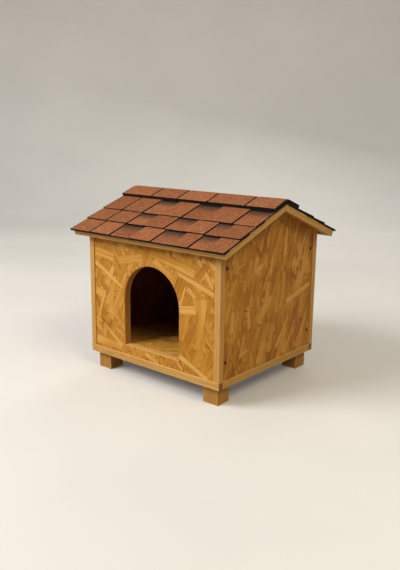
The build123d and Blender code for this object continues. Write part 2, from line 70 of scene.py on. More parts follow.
class Wiring:
    """Adds one node a call, plugs in what it needs, and returns what it gives."""

    def __init__(self, tree):
        self.tree = tree

    def plug(self, value, socket):
        if isinstance(value, bpy.types.NodeSocket):
            self.tree.links.new(value, socket)
        else:
            socket.default_value = value

    def node(self, kind, plugs=None, **settings):
        made = self.tree.nodes.new(kind)
        for name, value in settings.items():
            setattr(made, name, value)
        for name, value in (plugs or {}).items():
            self.plug(value, made.inputs[name])
        return made

    def add(self, kind, plugs=None, out=0, **settings):
        return self.node(kind, plugs, **settings).outputs[out]

    def math(self, operation, *values):
        return self.add("ShaderNodeMath", dict(enumerate(values)), operation=operation)

    def vector(self, operation, *values):
        out = "Value" if operation in ("DOT_PRODUCT", "LENGTH", "DISTANCE") else "Vector"
        return self.add("ShaderNodeVectorMath", dict(enumerate(values)), out=out, operation=operation)

    def join(self, x=0.0, y=0.0, z=0.0):
        return self.add("ShaderNodeCombineXYZ", {"X": x, "Y": y, "Z": z})

    def chain(self, operation, first, *others):
        """One node after another, as in ((a + b) + c) + d."""
        for other in others:
            first = self.math(operation, first, other)
        return first

    def plus(self, *values):
        return self.chain("ADD", *values)

    def minus(self, *values):
        return self.chain("SUBTRACT", *values)

    def times(self, *values):
        return self.chain("MULTIPLY", *values)

    def least(self, *values):
        return self.chain("MINIMUM", *values)

    def most(self, *values):
        return self.chain("MAXIMUM", *values)

    def size(self, value):
        """The number without its sign."""
        return self.math("ABSOLUTE", value)

    def rest(self, value):
        """What is left up to 1."""
        return self.math("SUBTRACT", 1.0, value)

    def stretch(self, vector, by):
        return self.vector("MULTIPLY", vector, by)

    def parts(self, vector, letters="xyz"):
        """The wanted parts of a vector. A separate node would keep room for all three, used or not."""
        axes = {"x": (1.0, 0.0, 0.0), "y": (0.0, 1.0, 0.0), "z": (0.0, 0.0, 1.0)}
        return [self.vector("DOT_PRODUCT", vector, axes[letter]) for letter in letters]

    def fade(self, value, start, end, low=0.0, high=1.0):
        """Goes smoothly from low to high as the value goes from start to end, and stays there."""
        plugs = {"Value": value, "From Min": start, "From Max": end, "To Min": low, "To Max": high}
        return self.add("ShaderNodeMapRange", plugs, interpolation_type="SMOOTHSTEP")

    def sway(self, noise, low=0.0, high=1.0):
        """Goes from low to high with a noise, which hardly leaves 0.3 to 0.7."""
        return self.fade(noise, 0.3, 0.7, low, high)

    def mix(self, factor, a, b, kind="FLOAT"):
        """Between a and b. The Mix node holds a set of sockets for each kind of value."""
        first, result = {"FLOAT": (2, 0), "VECTOR": (4, 1), "RGBA": (6, 2)}[kind]
        node = self.node("ShaderNodeMix", {0: factor, first: a, first + 1: b}, data_type=kind)
        return node.outputs[result]

    def blend(self, factor, a, b):
        """Between two colours."""
        return self.mix(factor, a, b, "RGBA")

    def tint(self, colour, by, factor=1.0):
        """Multiplies a colour by another."""
        plugs = {0: factor, 6: colour, 7: by}
        return self.node("ShaderNodeMix", plugs, data_type="RGBA", blend_type="MULTIPLY").outputs[2]

    def coordinates(self, out="Object"):
        return self.add("ShaderNodeTexCoord", out=out)

    def noise(self, place, scale, detail=2.0, out="Fac"):
        plugs = {"Vector": place, "Scale": scale, "Detail": detail}
        return self.add("ShaderNodeTexNoise", plugs, out=out)

    def drawn(self, place, scales, detail=2.0, out="Fac"):
        """A noise with its own scale in each direction."""
        return self.noise(self.stretch(place, scales), 1.0, detail, out)

    def between(self, chance, low, high):
        """A random number from low to high."""
        return self.fade(chance, 0.0, 1.0, low, high)

    def chances(self, place):
        """Four random numbers that stay the same all over one cell."""
        made = self.node("ShaderNodeTexWhiteNoise", {"Vector": place}).outputs
        return [made["Value"], *self.node("ShaderNodeSeparateColor", {"Color": made["Color"]}).outputs]

    def use(self, group, plugs):
        kind = "GeometryNodeGroup" if group.bl_idname == "GeometryNodeTree" else "ShaderNodeGroup"
        return self.node(kind, plugs, node_tree=group).outputs


def rgb(red, green, blue):
    """A colour by its 0 to 255 screen values, in the straight scale that shaders use."""

    def straight(value):
        value /= 255
        return value / 12.92 if value <= 0.04045 else ((value + 0.055) / 1.055) ** 2.4

    return (straight(red), straight(green), straight(blue), 1.0)


KINDS = {
    float: "Float", int: "Int", tuple: "Vector", bpy.types.Material: "Material", bpy.types.Object: "Object",
}


def new_group(name, takes, gives, kind="ShaderNodeTree"):
    """A node group, the wiring to fill it with, and the sockets of what it takes."""
    group = bpy.data.node_groups.new(name, kind)
    for side, sockets in (("INPUT", takes), ("OUTPUT", gives)):
        for label, value in sockets.items():
            word = value if isinstance(value, str) else KINDS[type(value)]
            if isinstance(value, tuple) and len(value) == 4:
                word = "Color"
            made = group.interface.new_socket(label, in_out=side, socket_type="NodeSocket" + word)
            if side == "INPUT" and not isinstance(value, str):
                made.default_value = value
    wiring = Wiring(group)
    return group, wiring, wiring.node("NodeGroupInput").outputs


def give(wiring, results):
    """Plugs the results into the group's end."""
    wiring.node("NodeGroupOutput", results)


print("wiring ready")

# %% [markdown]
# ## Which way each board faces
#
# Wood is not alike in all directions, so each finish has to know three of them: along the grain, across it,
# and out of the face. The walls stand, the floor lies, and the two roof slopes lean at the roof's pitch.
# A place on the piece is then three lengths in metres, one for each direction, measured from the origin.

# %% Directions
roof_pitch = math.radians(21)
lean_y = math.cos(roof_pitch)
lean_z = math.sin(roof_pitch)
X, Y, Z = (1.0, 0.0, 0.0), (0.0, 1.0, 0.0), (0.0, 0.0, 1.0)
up_front, out_front = (0.0, lean_y, lean_z), (0.0, -lean_z, lean_y)
up_rear, out_rear = (0.0, -lean_y, lean_z), (0.0, lean_z, lean_y)


def add_place(wiring, along, across, out):
    """Where a point lies along, across and out, in metres."""
    spot = wiring.coordinates()
    return wiring.join(*[wiring.vector("DOT_PRODUCT", spot, axis) for axis in (along, across, out)])


def points_of(piece):
    return np.array([vertex.co for vertex in piece.data.vertices])


def span(node, axes):
    """The lowest and highest places of a node along three directions."""
    places = points_of(nodes[node]) @ np.array(axes).T
    return tuple(map(float, places.min(0))), tuple(map(float, places.max(0)))


print("front slope faces", [round(part, 3) for part in out_front])

# %% [markdown]
# ## Strand board, one layer of strands
#
# Strand board is pressed from thin wood strands, 60 to 150 mm long and 10 to 30 mm wide, that lie in all
# directions over each other. Loose strands as real meshes would be heavy and would lift off the face, so
# they are drawn in the finish instead.
#
# One layer works like tiles. The face is cut into long cells, each row is shifted by chance, and each cell
# may hold one strand with its own length, width, taper and small turn. A group takes what lies below and
# gives it back with its own strands on top, so layers can be chained like boards on a stack.

# %% The strand layer group
STACK = {"Grain": (0.0, 0.0, 0.0), "Tone": 0.5, "Shade": 1.0}


tie = 1e-7


def wait_for_below(w, given):
    """The place on the face, tied to the shade below by a tenth of a micron.

    The tie makes the renderer finish each layer before it starts the next, so that it never has to keep
    the numbers of all layers at once.
    """
    return w.vector("ADD", given["Face"], w.join(w.times(given["Shade"], tie)))


def lay_over(w, given, edge, there, grain, tone):
    """Lays a strand over what is below. Outside its edge it throws a thin shade."""
    edge_width, shade_reach, shade_depth = 0.3 * mm, 1.6 * mm, 0.34
    cover = w.times(w.fade(edge, 0.0, edge_width), there)
    rim = w.times(w.fade(edge, -shade_reach, 0.0, 0.0, shade_depth), there)
    shade_below = w.times(given["Shade"], w.rest(rim))
    give(w, {
        "Grain": w.mix(cover, given["Grain"], grain, "VECTOR"),
        "Tone": w.mix(cover, given["Tone"], tone),
        "Shade": w.mix(cover, shade_below, 1.0),
    })


strand_layer, w, given = new_group(
    "Strand layer",
    {"Face": (0.0, 0.0, 0.0), **STACK, "Angle": 0.0, "Seed": 0.0, "Length": 0.13, "Width": 0.03, "Share": 0.6,
     "Spread": 0.5},
    STACK,
)
face = wait_for_below(w, given)
turned = w.add("ShaderNodeVectorRotate", {"Vector": face, "Angle": given["Angle"]}, rotation_type="Z_AXIS")
shift = w.join(w.times(given["Seed"], 0.137), w.times(given["Seed"], 0.071))
x, y = w.parts(w.vector("ADD", turned, shift), "xy")
row = w.math("FLOOR", w.math("DIVIDE", y, given["Width"]))
row_shift, row_turn, row_wide, row_tone = w.chances(w.join(row, given["Seed"], 3.0))
x = w.math("MULTIPLY_ADD", row_shift, given["Length"], x)
cell = w.math("FLOOR", w.math("DIVIDE", x, given["Length"]))
spot = w.join(cell, row, given["Seed"])
turn, long, wide, is_there = w.chances(spot)
thinning, tone, own, lift = w.chances(w.vector("ADD", spot, (17.0, 5.0, 31.0)))
here_x = w.minus(x, w.times(w.plus(cell, 0.5), given["Length"]))
here_y = w.minus(y, w.times(w.plus(row, 0.5), given["Width"]))
own_turn = w.plus(w.between(turn, -0.12, 0.12), w.between(row_turn, -0.04, 0.04))
own_place = w.join(here_x, here_y, w.times(own, 9.0))
own_place = w.add("ShaderNodeVectorRotate", {"Vector": own_place, "Angle": own_turn}, rotation_type="Z_AXIS")
grain_x, grain_y = w.parts(own_place, "xy")
half_length = w.times(given["Length"], w.between(long, 0.26, 0.47))
wide = w.plus(w.times(wide, 0.75), w.times(row_wide, 0.25))
half_width = w.times(given["Width"], w.between(wide, 0.14, 0.38))
taper = w.times(w.math("DIVIDE", grain_x, half_length), w.between(thinning, -0.5, 0.5))
half_width = w.times(half_width, w.rest(taper))
ragged_end, ragged_side = w.parts(w.drawn(own_place, (25.0, 420.0, 40.0), 1.0, "Color"), "xy")
ragged_end = w.fade(ragged_end, 0.25, 0.75, 0.0, 9 * mm)
ragged_side = w.fade(ragged_side, 0.25, 0.75, 0.0, 1.2 * mm)
end_room = w.minus(half_length, w.size(grain_x), ragged_end)
side_room = w.minus(half_width, w.size(grain_y), ragged_side)
room = w.minus(w.least(end_room, side_room), w.times(lift, 0.3 * mm))
tone = w.plus(w.times(tone, 0.85), w.times(row_tone, 0.15))
pale_one = w.times(w.math("GREATER_THAN", own, 0.93), 0.22)
tone = w.plus(w.math("MULTIPLY_ADD", w.minus(tone, 0.5), given["Spread"], 0.5), pale_one)
lay_over(w, given, room, w.math("LESS_THAN", is_there, given["Share"]), own_place, tone)
print("strand layer has", len(strand_layer.nodes), "nodes")

# %% [markdown]
# ## One listed strand
#
# A few strands stand out: they are long, pale, and lie on top. Chance would never put them where the real
# board has them, so a second group lays a single strand at a given middle, angle and size. It joins the
# same chain.

# %% The single strand group
single_strand, w, given = new_group(
    "Single strand",
    {"Face": (0.0, 0.0, 0.0), **STACK, "Middle": (0.0, 0.0, 0.0), "Angle": 0.0, "Length": 0.1, "Width": 0.02,
     "Taper": 0.0, "Own Tone": 1.0},
    STACK,
)
here = w.vector("SUBTRACT", wait_for_below(w, given), given["Middle"])
back = w.times(given["Angle"], -1.0)
here = w.add("ShaderNodeVectorRotate", {"Vector": here, "Angle": back}, rotation_type="Z_AXIS")
own_place = w.vector("ADD", here, w.join(0.0, 0.0, w.times(given["Length"], 70.0)))
grain_x, grain_y = w.parts(own_place, "xy")
half_length = w.times(given["Length"], 0.5)
taper = w.times(w.math("DIVIDE", grain_x, half_length), given["Taper"])
half_width = w.times(given["Width"], 0.5, w.rest(taper))
ragged_end, ragged_side = w.parts(w.drawn(own_place, (25.0, 420.0, 1.0), 1.0, "Color"), "xy")
end_room = w.minus(half_length, w.size(grain_x), w.fade(ragged_end, 0.25, 0.75, 0.0, 7 * mm))
side_room = w.minus(half_width, w.size(grain_y), w.fade(ragged_side, 0.25, 0.75, -0.6 * mm, 0.6 * mm))
lay_over(w, given, w.least(end_room, side_room), 1.0, own_place, given["Own Tone"])
print("single strand has", len(single_strand.nodes), "nodes")

# %% [markdown]
# ## The look of the wood in a strand, and of the board's cut edge
#
# Each strand is a slice of softwood, so it has fine fibres along its own length. Its colour runs from amber
# to straw. Wax and glue give the face a satin sheen. Where the board is cut, the strands show end on as thin
# layers, and the cut is browner. Small dark flecks of bark lie between the strands.

# %% The board face group
BOARD_TONES = [
    (0.0, rgb(150, 90, 16)), (0.3, rgb(178, 117, 28)), (0.62, rgb(197, 140, 48)), (1.0, rgb(220, 169, 88)),
]
CUT, SILL_WEAR_AND_TOP_LIGHT = (rgb(160, 101, 28), rgb(206, 150, 70)), (rgb(204, 152, 78), rgb(228, 182, 112))
board_face, w, given = new_group(
    "Board face",
    {"Place": (0.0, 0.0, 0.0), "Out": (0.0, 0.0, 1.0), **STACK, "Lift": 0.0, "Inner Shade": 0.0},
    {"Color": (0.5, 0.5, 0.5, 1.0), "Roughness": 0.5, "Height": 0.0},
)
fibre = w.drawn(given["Grain"], (14.0, 520.0, 1.0), 3.0)
streak = w.drawn(given["Grain"], (5.0, 110.0, 1.0))
cloud = w.noise(given["Place"], 9.0, 2.0)
tone = w.plus(given["Tone"], w.sway(fibre, -0.14, 0.14), w.sway(streak, -0.17, 0.17))
tone = w.plus(tone, w.sway(cloud, -0.10, 0.10), given["Lift"])
ramp = w.node("ShaderNodeValToRGB", {"Fac": tone})
while len(ramp.color_ramp.elements) < len(BOARD_TONES):
    ramp.color_ramp.elements.new(0.5)
for step, (spot, colour) in zip(ramp.color_ramp.elements, BOARD_TONES):
    step.position, step.color = spot, colour
shade = w.fade(given["Shade"], 0.25, 1.0, 0.0, 1.0)
face_colour = w.blend(shade, w.tint(ramp.outputs[0], rgb(176, 140, 110)), ramp.outputs[0])
fleck_noise = w.drawn(given["Grain"], (90.0, 420.0, 1.0), 1.0)
fleck = w.times(w.fade(fleck_noise, 0.74, 0.80), w.fade(given["Tone"], 0.15, 0.6, 1.0, 0.0))
face_colour = w.blend(w.times(fleck, 0.8), face_colour, rgb(96, 52, 18))
cut = w.drawn(given["Place"], (45.0, 45.0, 1500.0))
cut_colour = w.blend(w.sway(cut), *CUT)
normal = w.coordinates("Normal")
facing = w.vector("DOT_PRODUCT", normal, given["Out"])
is_face = w.fade(w.size(facing), 0.6, 0.8)
# Inner faces of the walls are tinted darker: painted shade for the dark inside of the house.
inner_painted_shade = w.times(w.fade(facing, -0.8, -0.6, 1.0, 0.0), given["Inner Shade"])
lying = w.fade(w.parts(normal, "z")[0], 0.7, 0.9)
# Cut faces that face up are paler: partly wear where the cat steps, partly painted light on top faces.
cut_colour = w.blend(w.times(lying, 0.8), cut_colour, w.blend(w.sway(cut), *SILL_WEAR_AND_TOP_LIGHT))
colour = w.blend(is_face, cut_colour, face_colour)
turned_over = w.size(facing)
# Rounded edges are paler: painted highlight along the rounded edge, with some wear.
rounded_edge_highlight_and_wear = w.times(w.fade(turned_over, 0.08, 0.2), w.fade(turned_over, 0.93, 0.985, 0.7, 0.0))
colour = w.blend(rounded_edge_highlight_and_wear, colour, rgb(228, 180, 108))
colour = w.tint(colour, rgb(150, 112, 84), inner_painted_shade)
rough_face = w.sway(fibre, 0.46, 0.62)
level = w.math("FRACT", w.times(w.parts(given["Grain"], "z")[0], 37.7))
height_face = w.plus(w.times(level, 0.6), w.times(fibre, 0.3))
height_face = w.plus(height_face, w.times(given["Shade"], 0.4))
give(w, {
    "Color": colour,
    "Roughness": w.mix(is_face, 0.85, rough_face),
    "Height": w.mix(is_face, w.times(cut, 1.2), height_face),
})
print("board face has", len(board_face.nodes), "nodes")

# %% [markdown]
# ## Finishing a material
#
# Every finish ends in the same way: a colour, a roughness and a small height that the bump node turns into
# relief. One function adds that end. The bump's distance is the real height in metres that a value of 1
# stands for, so a grain that is 0.2 mm deep is written as 0.2 mm.

# %% The end of a material


def new_material(name):
    """An empty material with its wiring."""
    material = bpy.data.materials.new(name)
    material.use_nodes = True
    material.node_tree.nodes.clear()
    return material, Wiring(material.node_tree)


def finish_material(w, colour, roughness, height, depth, **sockets):
    """Adds the shader. More of its sockets can be given by name."""
    bump = w.add("ShaderNodeBump", {"Height": height, "Distance": depth, "Strength": 1.0})
    plugs = {"Base Color": colour, "Roughness": roughness, "Normal": bump, "Specular IOR Level": 0.3}
    shader = w.add("ShaderNodeBsdfPrincipled", {**plugs, **sockets})
    w.node("ShaderNodeOutputMaterial", {"Surface": shader})


dressed = set()


def dress(node, material):
    """Gives a CAD piece its finish, and notes that it has one."""
    made = nodes[node].data.materials
    if not len(made):
        made.append(material)
    for slot in nodes[node].material_slots:
        slot.material = material
    dressed.add(node)


print("materials can be finished")

# %% [markdown]
# ## Finding each screw
#
# A CAD node holds all its screws in one mesh, so the mesh is first taken apart into its separate bodies.
# The tip of a screw is the point farthest from its middle, and the axis runs from there through the middle.
# The boards need the places first, because each head has a dark ring round it on the board, partly a stain
# from the steel and partly painted shadow of the countersink, and the screws themselves are built on them
# later.

# %% Screws taken apart


def bodies_of(node):
    """The points of each separate body in a CAD node, from a merged copy of its mesh."""
    copy = bmesh.new()
    copy.from_mesh(nodes[node].data)
    bmesh.ops.remove_doubles(copy, verts=copy.verts, dist=1e-6)
    left = set(copy.verts)
    found = []
    while left:
        body, edge = set(), [left.pop()]
        while edge:
            vertex = edge.pop()
            body.add(vertex)
            for line in vertex.link_edges:
                other = line.other_vert(vertex)
                if other in left:
                    left.remove(other)
                    edge.append(other)
        found.append(np.array([tuple(vertex.co) for vertex in body]))
    copy.free()
    return found


def lie_of(points):
    """The middle of the head's top, the way the head faces, and the length."""
    middle = points.mean(0)
    tip = points[np.argmax(np.linalg.norm(points - middle, axis=1))]
    axis = (middle - tip) / np.linalg.norm(middle - tip)
    length = float(((points - tip) @ axis).max())
    return tip + axis * length, axis, length


def lies_of(node):
    return sorted((lie_of(body) for body in bodies_of(node)), key=lambda lie: tuple(lie[0].round(5)))


gable_lies = lies_of("gable_wall_screws")
right_heads, left_heads = [
    [(float(top[1]), float(top[2]), 0.0) for top, axis, _ in gable_lies if axis[0] * side > 0.5]
    for side in (1, -1)
]
print("gable screws:", len(gable_lies), "of", round(gable_lies[0][2] / mm, 2), "mm, right heads", right_heads)

# %% [markdown]
# ## Strand board on the seven boards
#
# In a real board, most strands of the outer layer lie roughly one way, and some cross them. So each board has
# a list of angles, from the bottom layer to the top one. The front is a mix of slanting and level strands. On
# the gables they stand steep. The listed strands come last, each with its middle, angle, length, width, taper
# and tone, in millimetres and degrees. Then come the dark rings round the screw heads, partly stain and
# partly painted countersink shadow, and on the floor a painted shade, which is darker away from the doorway.
# The inner faces of the walls are darker too, as painted shade.

# %% Board materials
STAIN_AND_COUNTERSINK_SHADE, CABIN_SHADE = rgb(46, 20, 6), rgb(126, 70, 40)
FRONT_ANGLES = [78, -35, 15, 100, -62, 40, 88, -22, 62, -48, 74]
GABLE_ANGLES = [15, 70, 115, 58, 95, -50, 78, 104, 65, 88, 72]
FLAT_ANGLES = [0, 60, 25, -40, 12, 90, -18, 35, -8, 50, 5]

FRONT_STRANDS = [
    (110, 314, 69, 90, 30, 0.1, 0.30),
    (185, 361, 48, 62, 20, 0.0, 0.28),
    (141, 173, 62, 100, 22, 0.1, 0.32),
    (183, 220, 82, 150, 22, -0.2, 0.80),
    (78, 370, -13, 175, 24, 0.1, 0.66),
    (-81, 360, 12, 100, 22, 0.1, 0.62),
    (-190, 361, -8, 92, 26, 0.1, 0.80),
    (53, 344, -34, 100, 18, 0.2, 0.74),
    (-207, 242, -5, 52, 24, 0.0, 0.72),
    (-153, 186, -28, 60, 18, 0.3, 0.74),
    (-172, 302, -28, 140, 13, 0.3, 0.98),
    (165, 325, -18, 138, 13, -0.1, 0.92),
    (150, 298, -41, 42, 15, 0.2, 0.86),
    (205, 353, -45, 30, 9, 0.4, 0.90),
    (136, 250, 8, 68, 23, 0.0, 0.92),
    (-216, 159, -32, 34, 12, 0.3, 0.86),
    (-217, 133, -35, 32, 14, 0.3, 0.92),
    (-176, 92, -3, 116, 22, 0.35, 0.84),
    (-151, 117, -36, 88, 11, -0.4, 0.98),
    (3, 83, -18, 60, 15, 0.1, 0.92),
    (111, 85, -43, 32, 9, 0.2, 0.94),
    (156, 94, -22, 116, 13, 0.1, 0.98),
]
GABLE_STRANDS = [
    (-65, 399, 121, 40, 12, 0.2, 0.12),
    (-60, 353, 37, 46, 20, 0.3, 0.72),
    (-31, 234, 50, 96, 25, 0.2, 0.78),
    (66, 148, 55, 112, 15, 0.2, 0.82),
    (4, 143, 85, 92, 19, 0.1, 0.70),
    (-177, 225, 84, 64, 18, 0.1, 0.80),
    (-176, 319, 55, 60, 18, 0.2, 0.72),
    (-1, 354, 81, 56, 11, 0.3, 0.82),
    (168, 320, 53, 78, 15, 0.1, 0.80),
    (142, 250, 15, 132, 15, 0.2, 0.96),
    (114, 305, -31, 44, 14, 0.0, 0.08),
    (-119, 129, 18, 40, 8, 0.3, 0.98),
    (-116, 245, -20, 27, 4, 0.2, 0.0),
]


def strand_board(
    name, along, across, out, angles, seed, spread, lift, inner_shade, by_hand=(), heads=(), painted_floor_shade=False,
):
    """A board material: layers of strands, then the listed ones, then the wood itself."""
    material, w = new_material(name)
    place = add_place(w, along, across, out)
    flat = w.stretch(place, (1.0, 1.0, 0.0))
    stack = {"Grain": place, "Tone": 0.35, "Shade": 0.8}
    layers = [(strand_layer, {
        "Angle": math.radians(-angle), "Seed": seed * 20.0 + count, "Share": 0.82, "Spread": spread,
        "Length": (118 + 14 * (count % 4)) * mm, "Width": (27 + 5 * (count % 3)) * mm,
    }) for count, angle in enumerate(angles)]
    layers += [(single_strand, {
        "Middle": (middle_x * mm, middle_y * mm, 0.0), "Angle": math.radians(angle),
        "Length": length * mm, "Width": width * mm, "Taper": taper, "Own Tone": tone,
    }) for middle_x, middle_y, angle, length, width, taper, tone in by_hand]
    for group, settings in layers:
        made = w.use(group, {"Face": flat, **stack, **settings})
        stack = {key: made[key] for key in STACK}
    end = w.use(board_face, {"Place": place, "Out": out, **stack, "Lift": lift, "Inner Shade": inner_shade})
    colour = end["Color"]
    if heads:
        # A dark ring round each screw head: partly a rust stain, partly painted shadow of the countersink.
        stain_shade_radius, stain_shade_end = 4.4 * mm, 6.6 * mm
        near = w.least(*[w.vector("DISTANCE", flat, head) for head in heads])
        uneven = w.plus(near, w.sway(w.noise(place, 300.0, 2.0), -1.2 * mm, 1.2 * mm))
        colour = w.blend(w.fade(uneven, stain_shade_radius, stain_shade_end, 0.9, 0.0), colour, STAIN_AND_COUNTERSINK_SHADE)
    if painted_floor_shade:
        # Painted shade: the floor grows darker away from the doorway, deeper inside the house.
        shade_starts, shade_full = -0.17, 0.06
        from_door = w.fade(w.parts(place, "y")[0], shade_starts, shade_full, 0.0, 0.95)
        colour = w.tint(colour, CABIN_SHADE, from_door)
    finish_material(w, colour, end["Roughness"], end["Height"], 0.35 * mm)
    return material


BOARDS = {
    "front_wall": (X, Z, (0.0, -1.0, 0.0), FRONT_ANGLES, 1.0, 0.50, 0.0, 0.0, FRONT_STRANDS),
    "rear_wall": (X, Z, Y, FRONT_ANGLES, 2.0, 0.50, 0.0, 1.0),
    "right_gable_wall": (Y, Z, X, GABLE_ANGLES, 3.0, 0.65, -0.04, 1.0, GABLE_STRANDS, right_heads),
    "left_gable_wall": (Y, Z, (-1.0, 0.0, 0.0), GABLE_ANGLES, 4.0, 0.65, -0.04, 1.0, (), left_heads),
    "floor_panel": (X, Y, Z, FLAT_ANGLES, 5.0, 0.80, 0.22, 0.0, (), (), True),
    "front_deck": (X, up_front, out_front, FLAT_ANGLES, 6.0, 0.60, 0.0, 0.0),
    "rear_deck": (X, up_rear, out_rear, FLAT_ANGLES, 7.0, 0.60, 0.0, 0.0),
}
for node, settings in BOARDS.items():
    dress(node, strand_board("Strand board " + node, *settings))
print("strand board on", len(BOARDS), "boards")

# %% [markdown]
# ## Softwood strips
#
# Posts, rails, feet and edge boards are sawn from pine. A tree's yearly rings are tubes around its middle,
# and a strip is a small stick cut out of them. So the rings are made in space, as distances from a line
# that runs along the grain outside the strip. The faces then show long lines and the ends show arcs, on
# their own. Handling makes the edges paler and smoother, so the finish also measures how near the next
# edge is: of the three distances to the strip's own faces, the middle one is the distance to the edge.

# %% The pine group
pine, w, given = new_group(
    "Pine",
    {"Place": (0.0, 0.0, 0.0), "Low": (0.0, 0.0, 0.0), "High": (1.0, 1.0, 1.0), "Grain Way": (1.0, 0.0, 0.0),
     "Pith": (0.0, 0.05, 0.03), "Seed": 0.0, "Ring": 0.0034,
     "Pale": (0.5, 0.5, 0.5, 1.0), "Dark": (0.3, 0.3, 0.3, 1.0)},
    {"Color": (0.5, 0.5, 0.5, 1.0), "Roughness": 0.5, "Height": 0.0},
)
moved = w.vector("ADD", given["Place"], w.join(given["Seed"], given["Seed"], given["Seed"]))
bend = w.parts(w.drawn(moved, (2.2, 14.0, 14.0), 2.0, "Color"), "xy")
cross = w.stretch(w.vector("SUBTRACT", given["Place"], given["Pith"]), (0.0, 1.0, 1.0))
from_pith = w.plus(w.vector("LENGTH", cross), w.fade(bend[0], 0.2, 0.8, -11 * mm, 11 * mm))
ring = w.math("FRACT", w.math("DIVIDE", from_pith, given["Ring"]))
late = w.times(w.fade(ring, 0.35, 0.92), w.fade(ring, 0.94, 1.0, 1.0, 0.0))
fibre = w.drawn(moved, (16.0, 620.0, 620.0), 3.0)
band = w.drawn(moved, (3.0, 60.0, 60.0))
rings = w.times(late, w.sway(bend[1], 0.22, 0.5))
darkness = w.plus(rings, w.sway(fibre, -0.1, 0.18), w.sway(band, 0.0, 0.34))
colour = w.blend(darkness, given["Pale"], given["Dark"])
pore = w.fade(w.drawn(moved, (70.0, 1500.0, 1500.0), 1.0), 0.64, 0.74, 0.0, 0.45)
colour = w.blend(pore, colour, w.tint(colour, rgb(150, 110, 80)))
low = w.parts(w.vector("SUBTRACT", given["Place"], given["Low"]))
high = w.parts(w.vector("SUBTRACT", given["High"], given["Place"]))
rooms = [w.least(low[axis], high[axis]) for axis in range(3)]
to_edge = w.minus(w.plus(*rooms), w.least(*rooms), w.most(*rooms))
uneven = w.sway(w.noise(moved, 70.0, 2.0), 0.4 * mm, 2.6 * mm)
worn = w.rest(w.fade(w.minus(to_edge, uneven), 0.0, 1.6 * mm))
handled = w.blend(0.55, given["Pale"], rgb(230, 190, 122))
colour = w.blend(w.times(worn, 0.5), colour, handled)
normal = w.coordinates("Normal")
at_end = w.fade(w.size(w.vector("DOT_PRODUCT", normal, given["Grain Way"])), 0.6, 0.8)
colour = w.blend(w.times(at_end, 0.8), colour, w.tint(colour, rgb(160, 118, 80)))
roughness = w.minus(w.sway(fibre, 0.52, 0.68), w.times(worn, 0.12))
relief = w.plus(w.times(late, 0.5), w.times(fibre, 0.5))
give(w, {"Color": colour, "Roughness": roughness, "Height": relief})
print("pine has", len(pine.nodes), "nodes")

# %% [markdown]
# ## Pine on the strips
#
# Each strip has its grain along its length. The seed moves the tree's middle, so no two strips show the same
# lines. The outer strips are a clean tan, the feet are darker and browner, a painted shade for where they
# stand under the house, and the hidden frame is paler, as sawn timber is. The function measures each strip in
# its own three directions, so it also suits the edge boards, which lean with the roof.

# %% Pine materials
TRIM = (rgb(208, 164, 94), rgb(172, 122, 56))
# The feet are darker than the trim: painted shade for their place under the house.
FOOT_IN_SHADE = (rgb(186, 139, 68), rgb(144, 95, 38))
FRAME = (rgb(206, 164, 112), rgb(168, 120, 68))


def pine_strip(node, ways, colours, seed):
    """A pine material for one strip, with its rings, its worn edges and its end grain."""
    material, w = new_material("Pine " + node)
    low, high = span(node, ways)
    angle = seed * 2.4
    distance = (34 + 9 * (seed % 4)) * mm
    pith_across = (low[1] + high[1]) / 2 + distance * math.cos(angle)
    pith = (0.0, pith_across, (low[2] + high[2]) / 2 + distance * math.sin(angle))
    end = w.use(pine, {
        "Place": add_place(w, *ways), "Low": low, "High": high, "Grain Way": ways[0], "Pith": pith,
        "Seed": seed * 0.83, "Ring": (2.6 + 0.5 * (seed % 3)) * mm, "Pale": colours[0], "Dark": colours[1],
    })
    finish_material(w, end["Color"], end["Roughness"], end["Height"], 0.12 * mm)
    dress(node, material)


level, deep, tall = (X, Y, Z), (Y, X, Z), (Z, X, Y)
corners = [face + "_" + side for face in ("front", "rear") for side in ("left", "right")]
strips = {f"{face}_rail": (level, TRIM) for face in ("front", "rear")}
strips |= {f"{side}_rail": (deep, TRIM) for side in ("left", "right")}
strips |= {f"{corner}_post": (tall, TRIM) for corner in corners}
strips |= {f"{corner}_foot": (tall, FOOT_IN_SHADE) for corner in corners}
strips |= {f"{corner}_batten": (tall, FRAME) for corner in corners}
strips |= {f"{face}_bearer": (level, FRAME) for face in ("front", "rear")}
strips |= {f"{side}_bearer": (deep, FRAME) for side in ("left", "right")}
strips["middle_joist"] = (deep, FRAME)
for face, up_slope, out_slope in (("front", up_front, out_front), ("rear", up_rear, out_rear)):
    strips[f"{face}_fascia"] = ((X, up_slope, out_slope), TRIM)
    for side in ("left", "right"):
        strips[f"{face}_{side}_barge_board"] = ((up_slope, X, out_slope), TRIM)
        strips[f"{face}_{side}_rafter"] = ((up_slope, X, out_slope), FRAME)
for seed, (node, (ways, colours)) in enumerate(strips.items()):
    pine_strip(node, ways, colours, seed)
print("pine on", len(strips), "strips")

# %% [markdown]
# ## Plywood
#
# The lining behind the front wall and the two plates that join the rafters are plywood. Its face is a veneer
# peeled off a turning log, so the rings spread into wide, lazy bands. Its edge shows five plies, light and
# dark by turns, because the grain of each lies across the one before. Under the doorway both the lining and
# the board in front of it are paler on top, as every cut face that faces up is: partly wear where the cat
# steps, partly painted light on the top faces.

# %% Plywood materials
PLIES = 5
VENEER = (rgb(206, 160, 100), rgb(170, 120, 66))


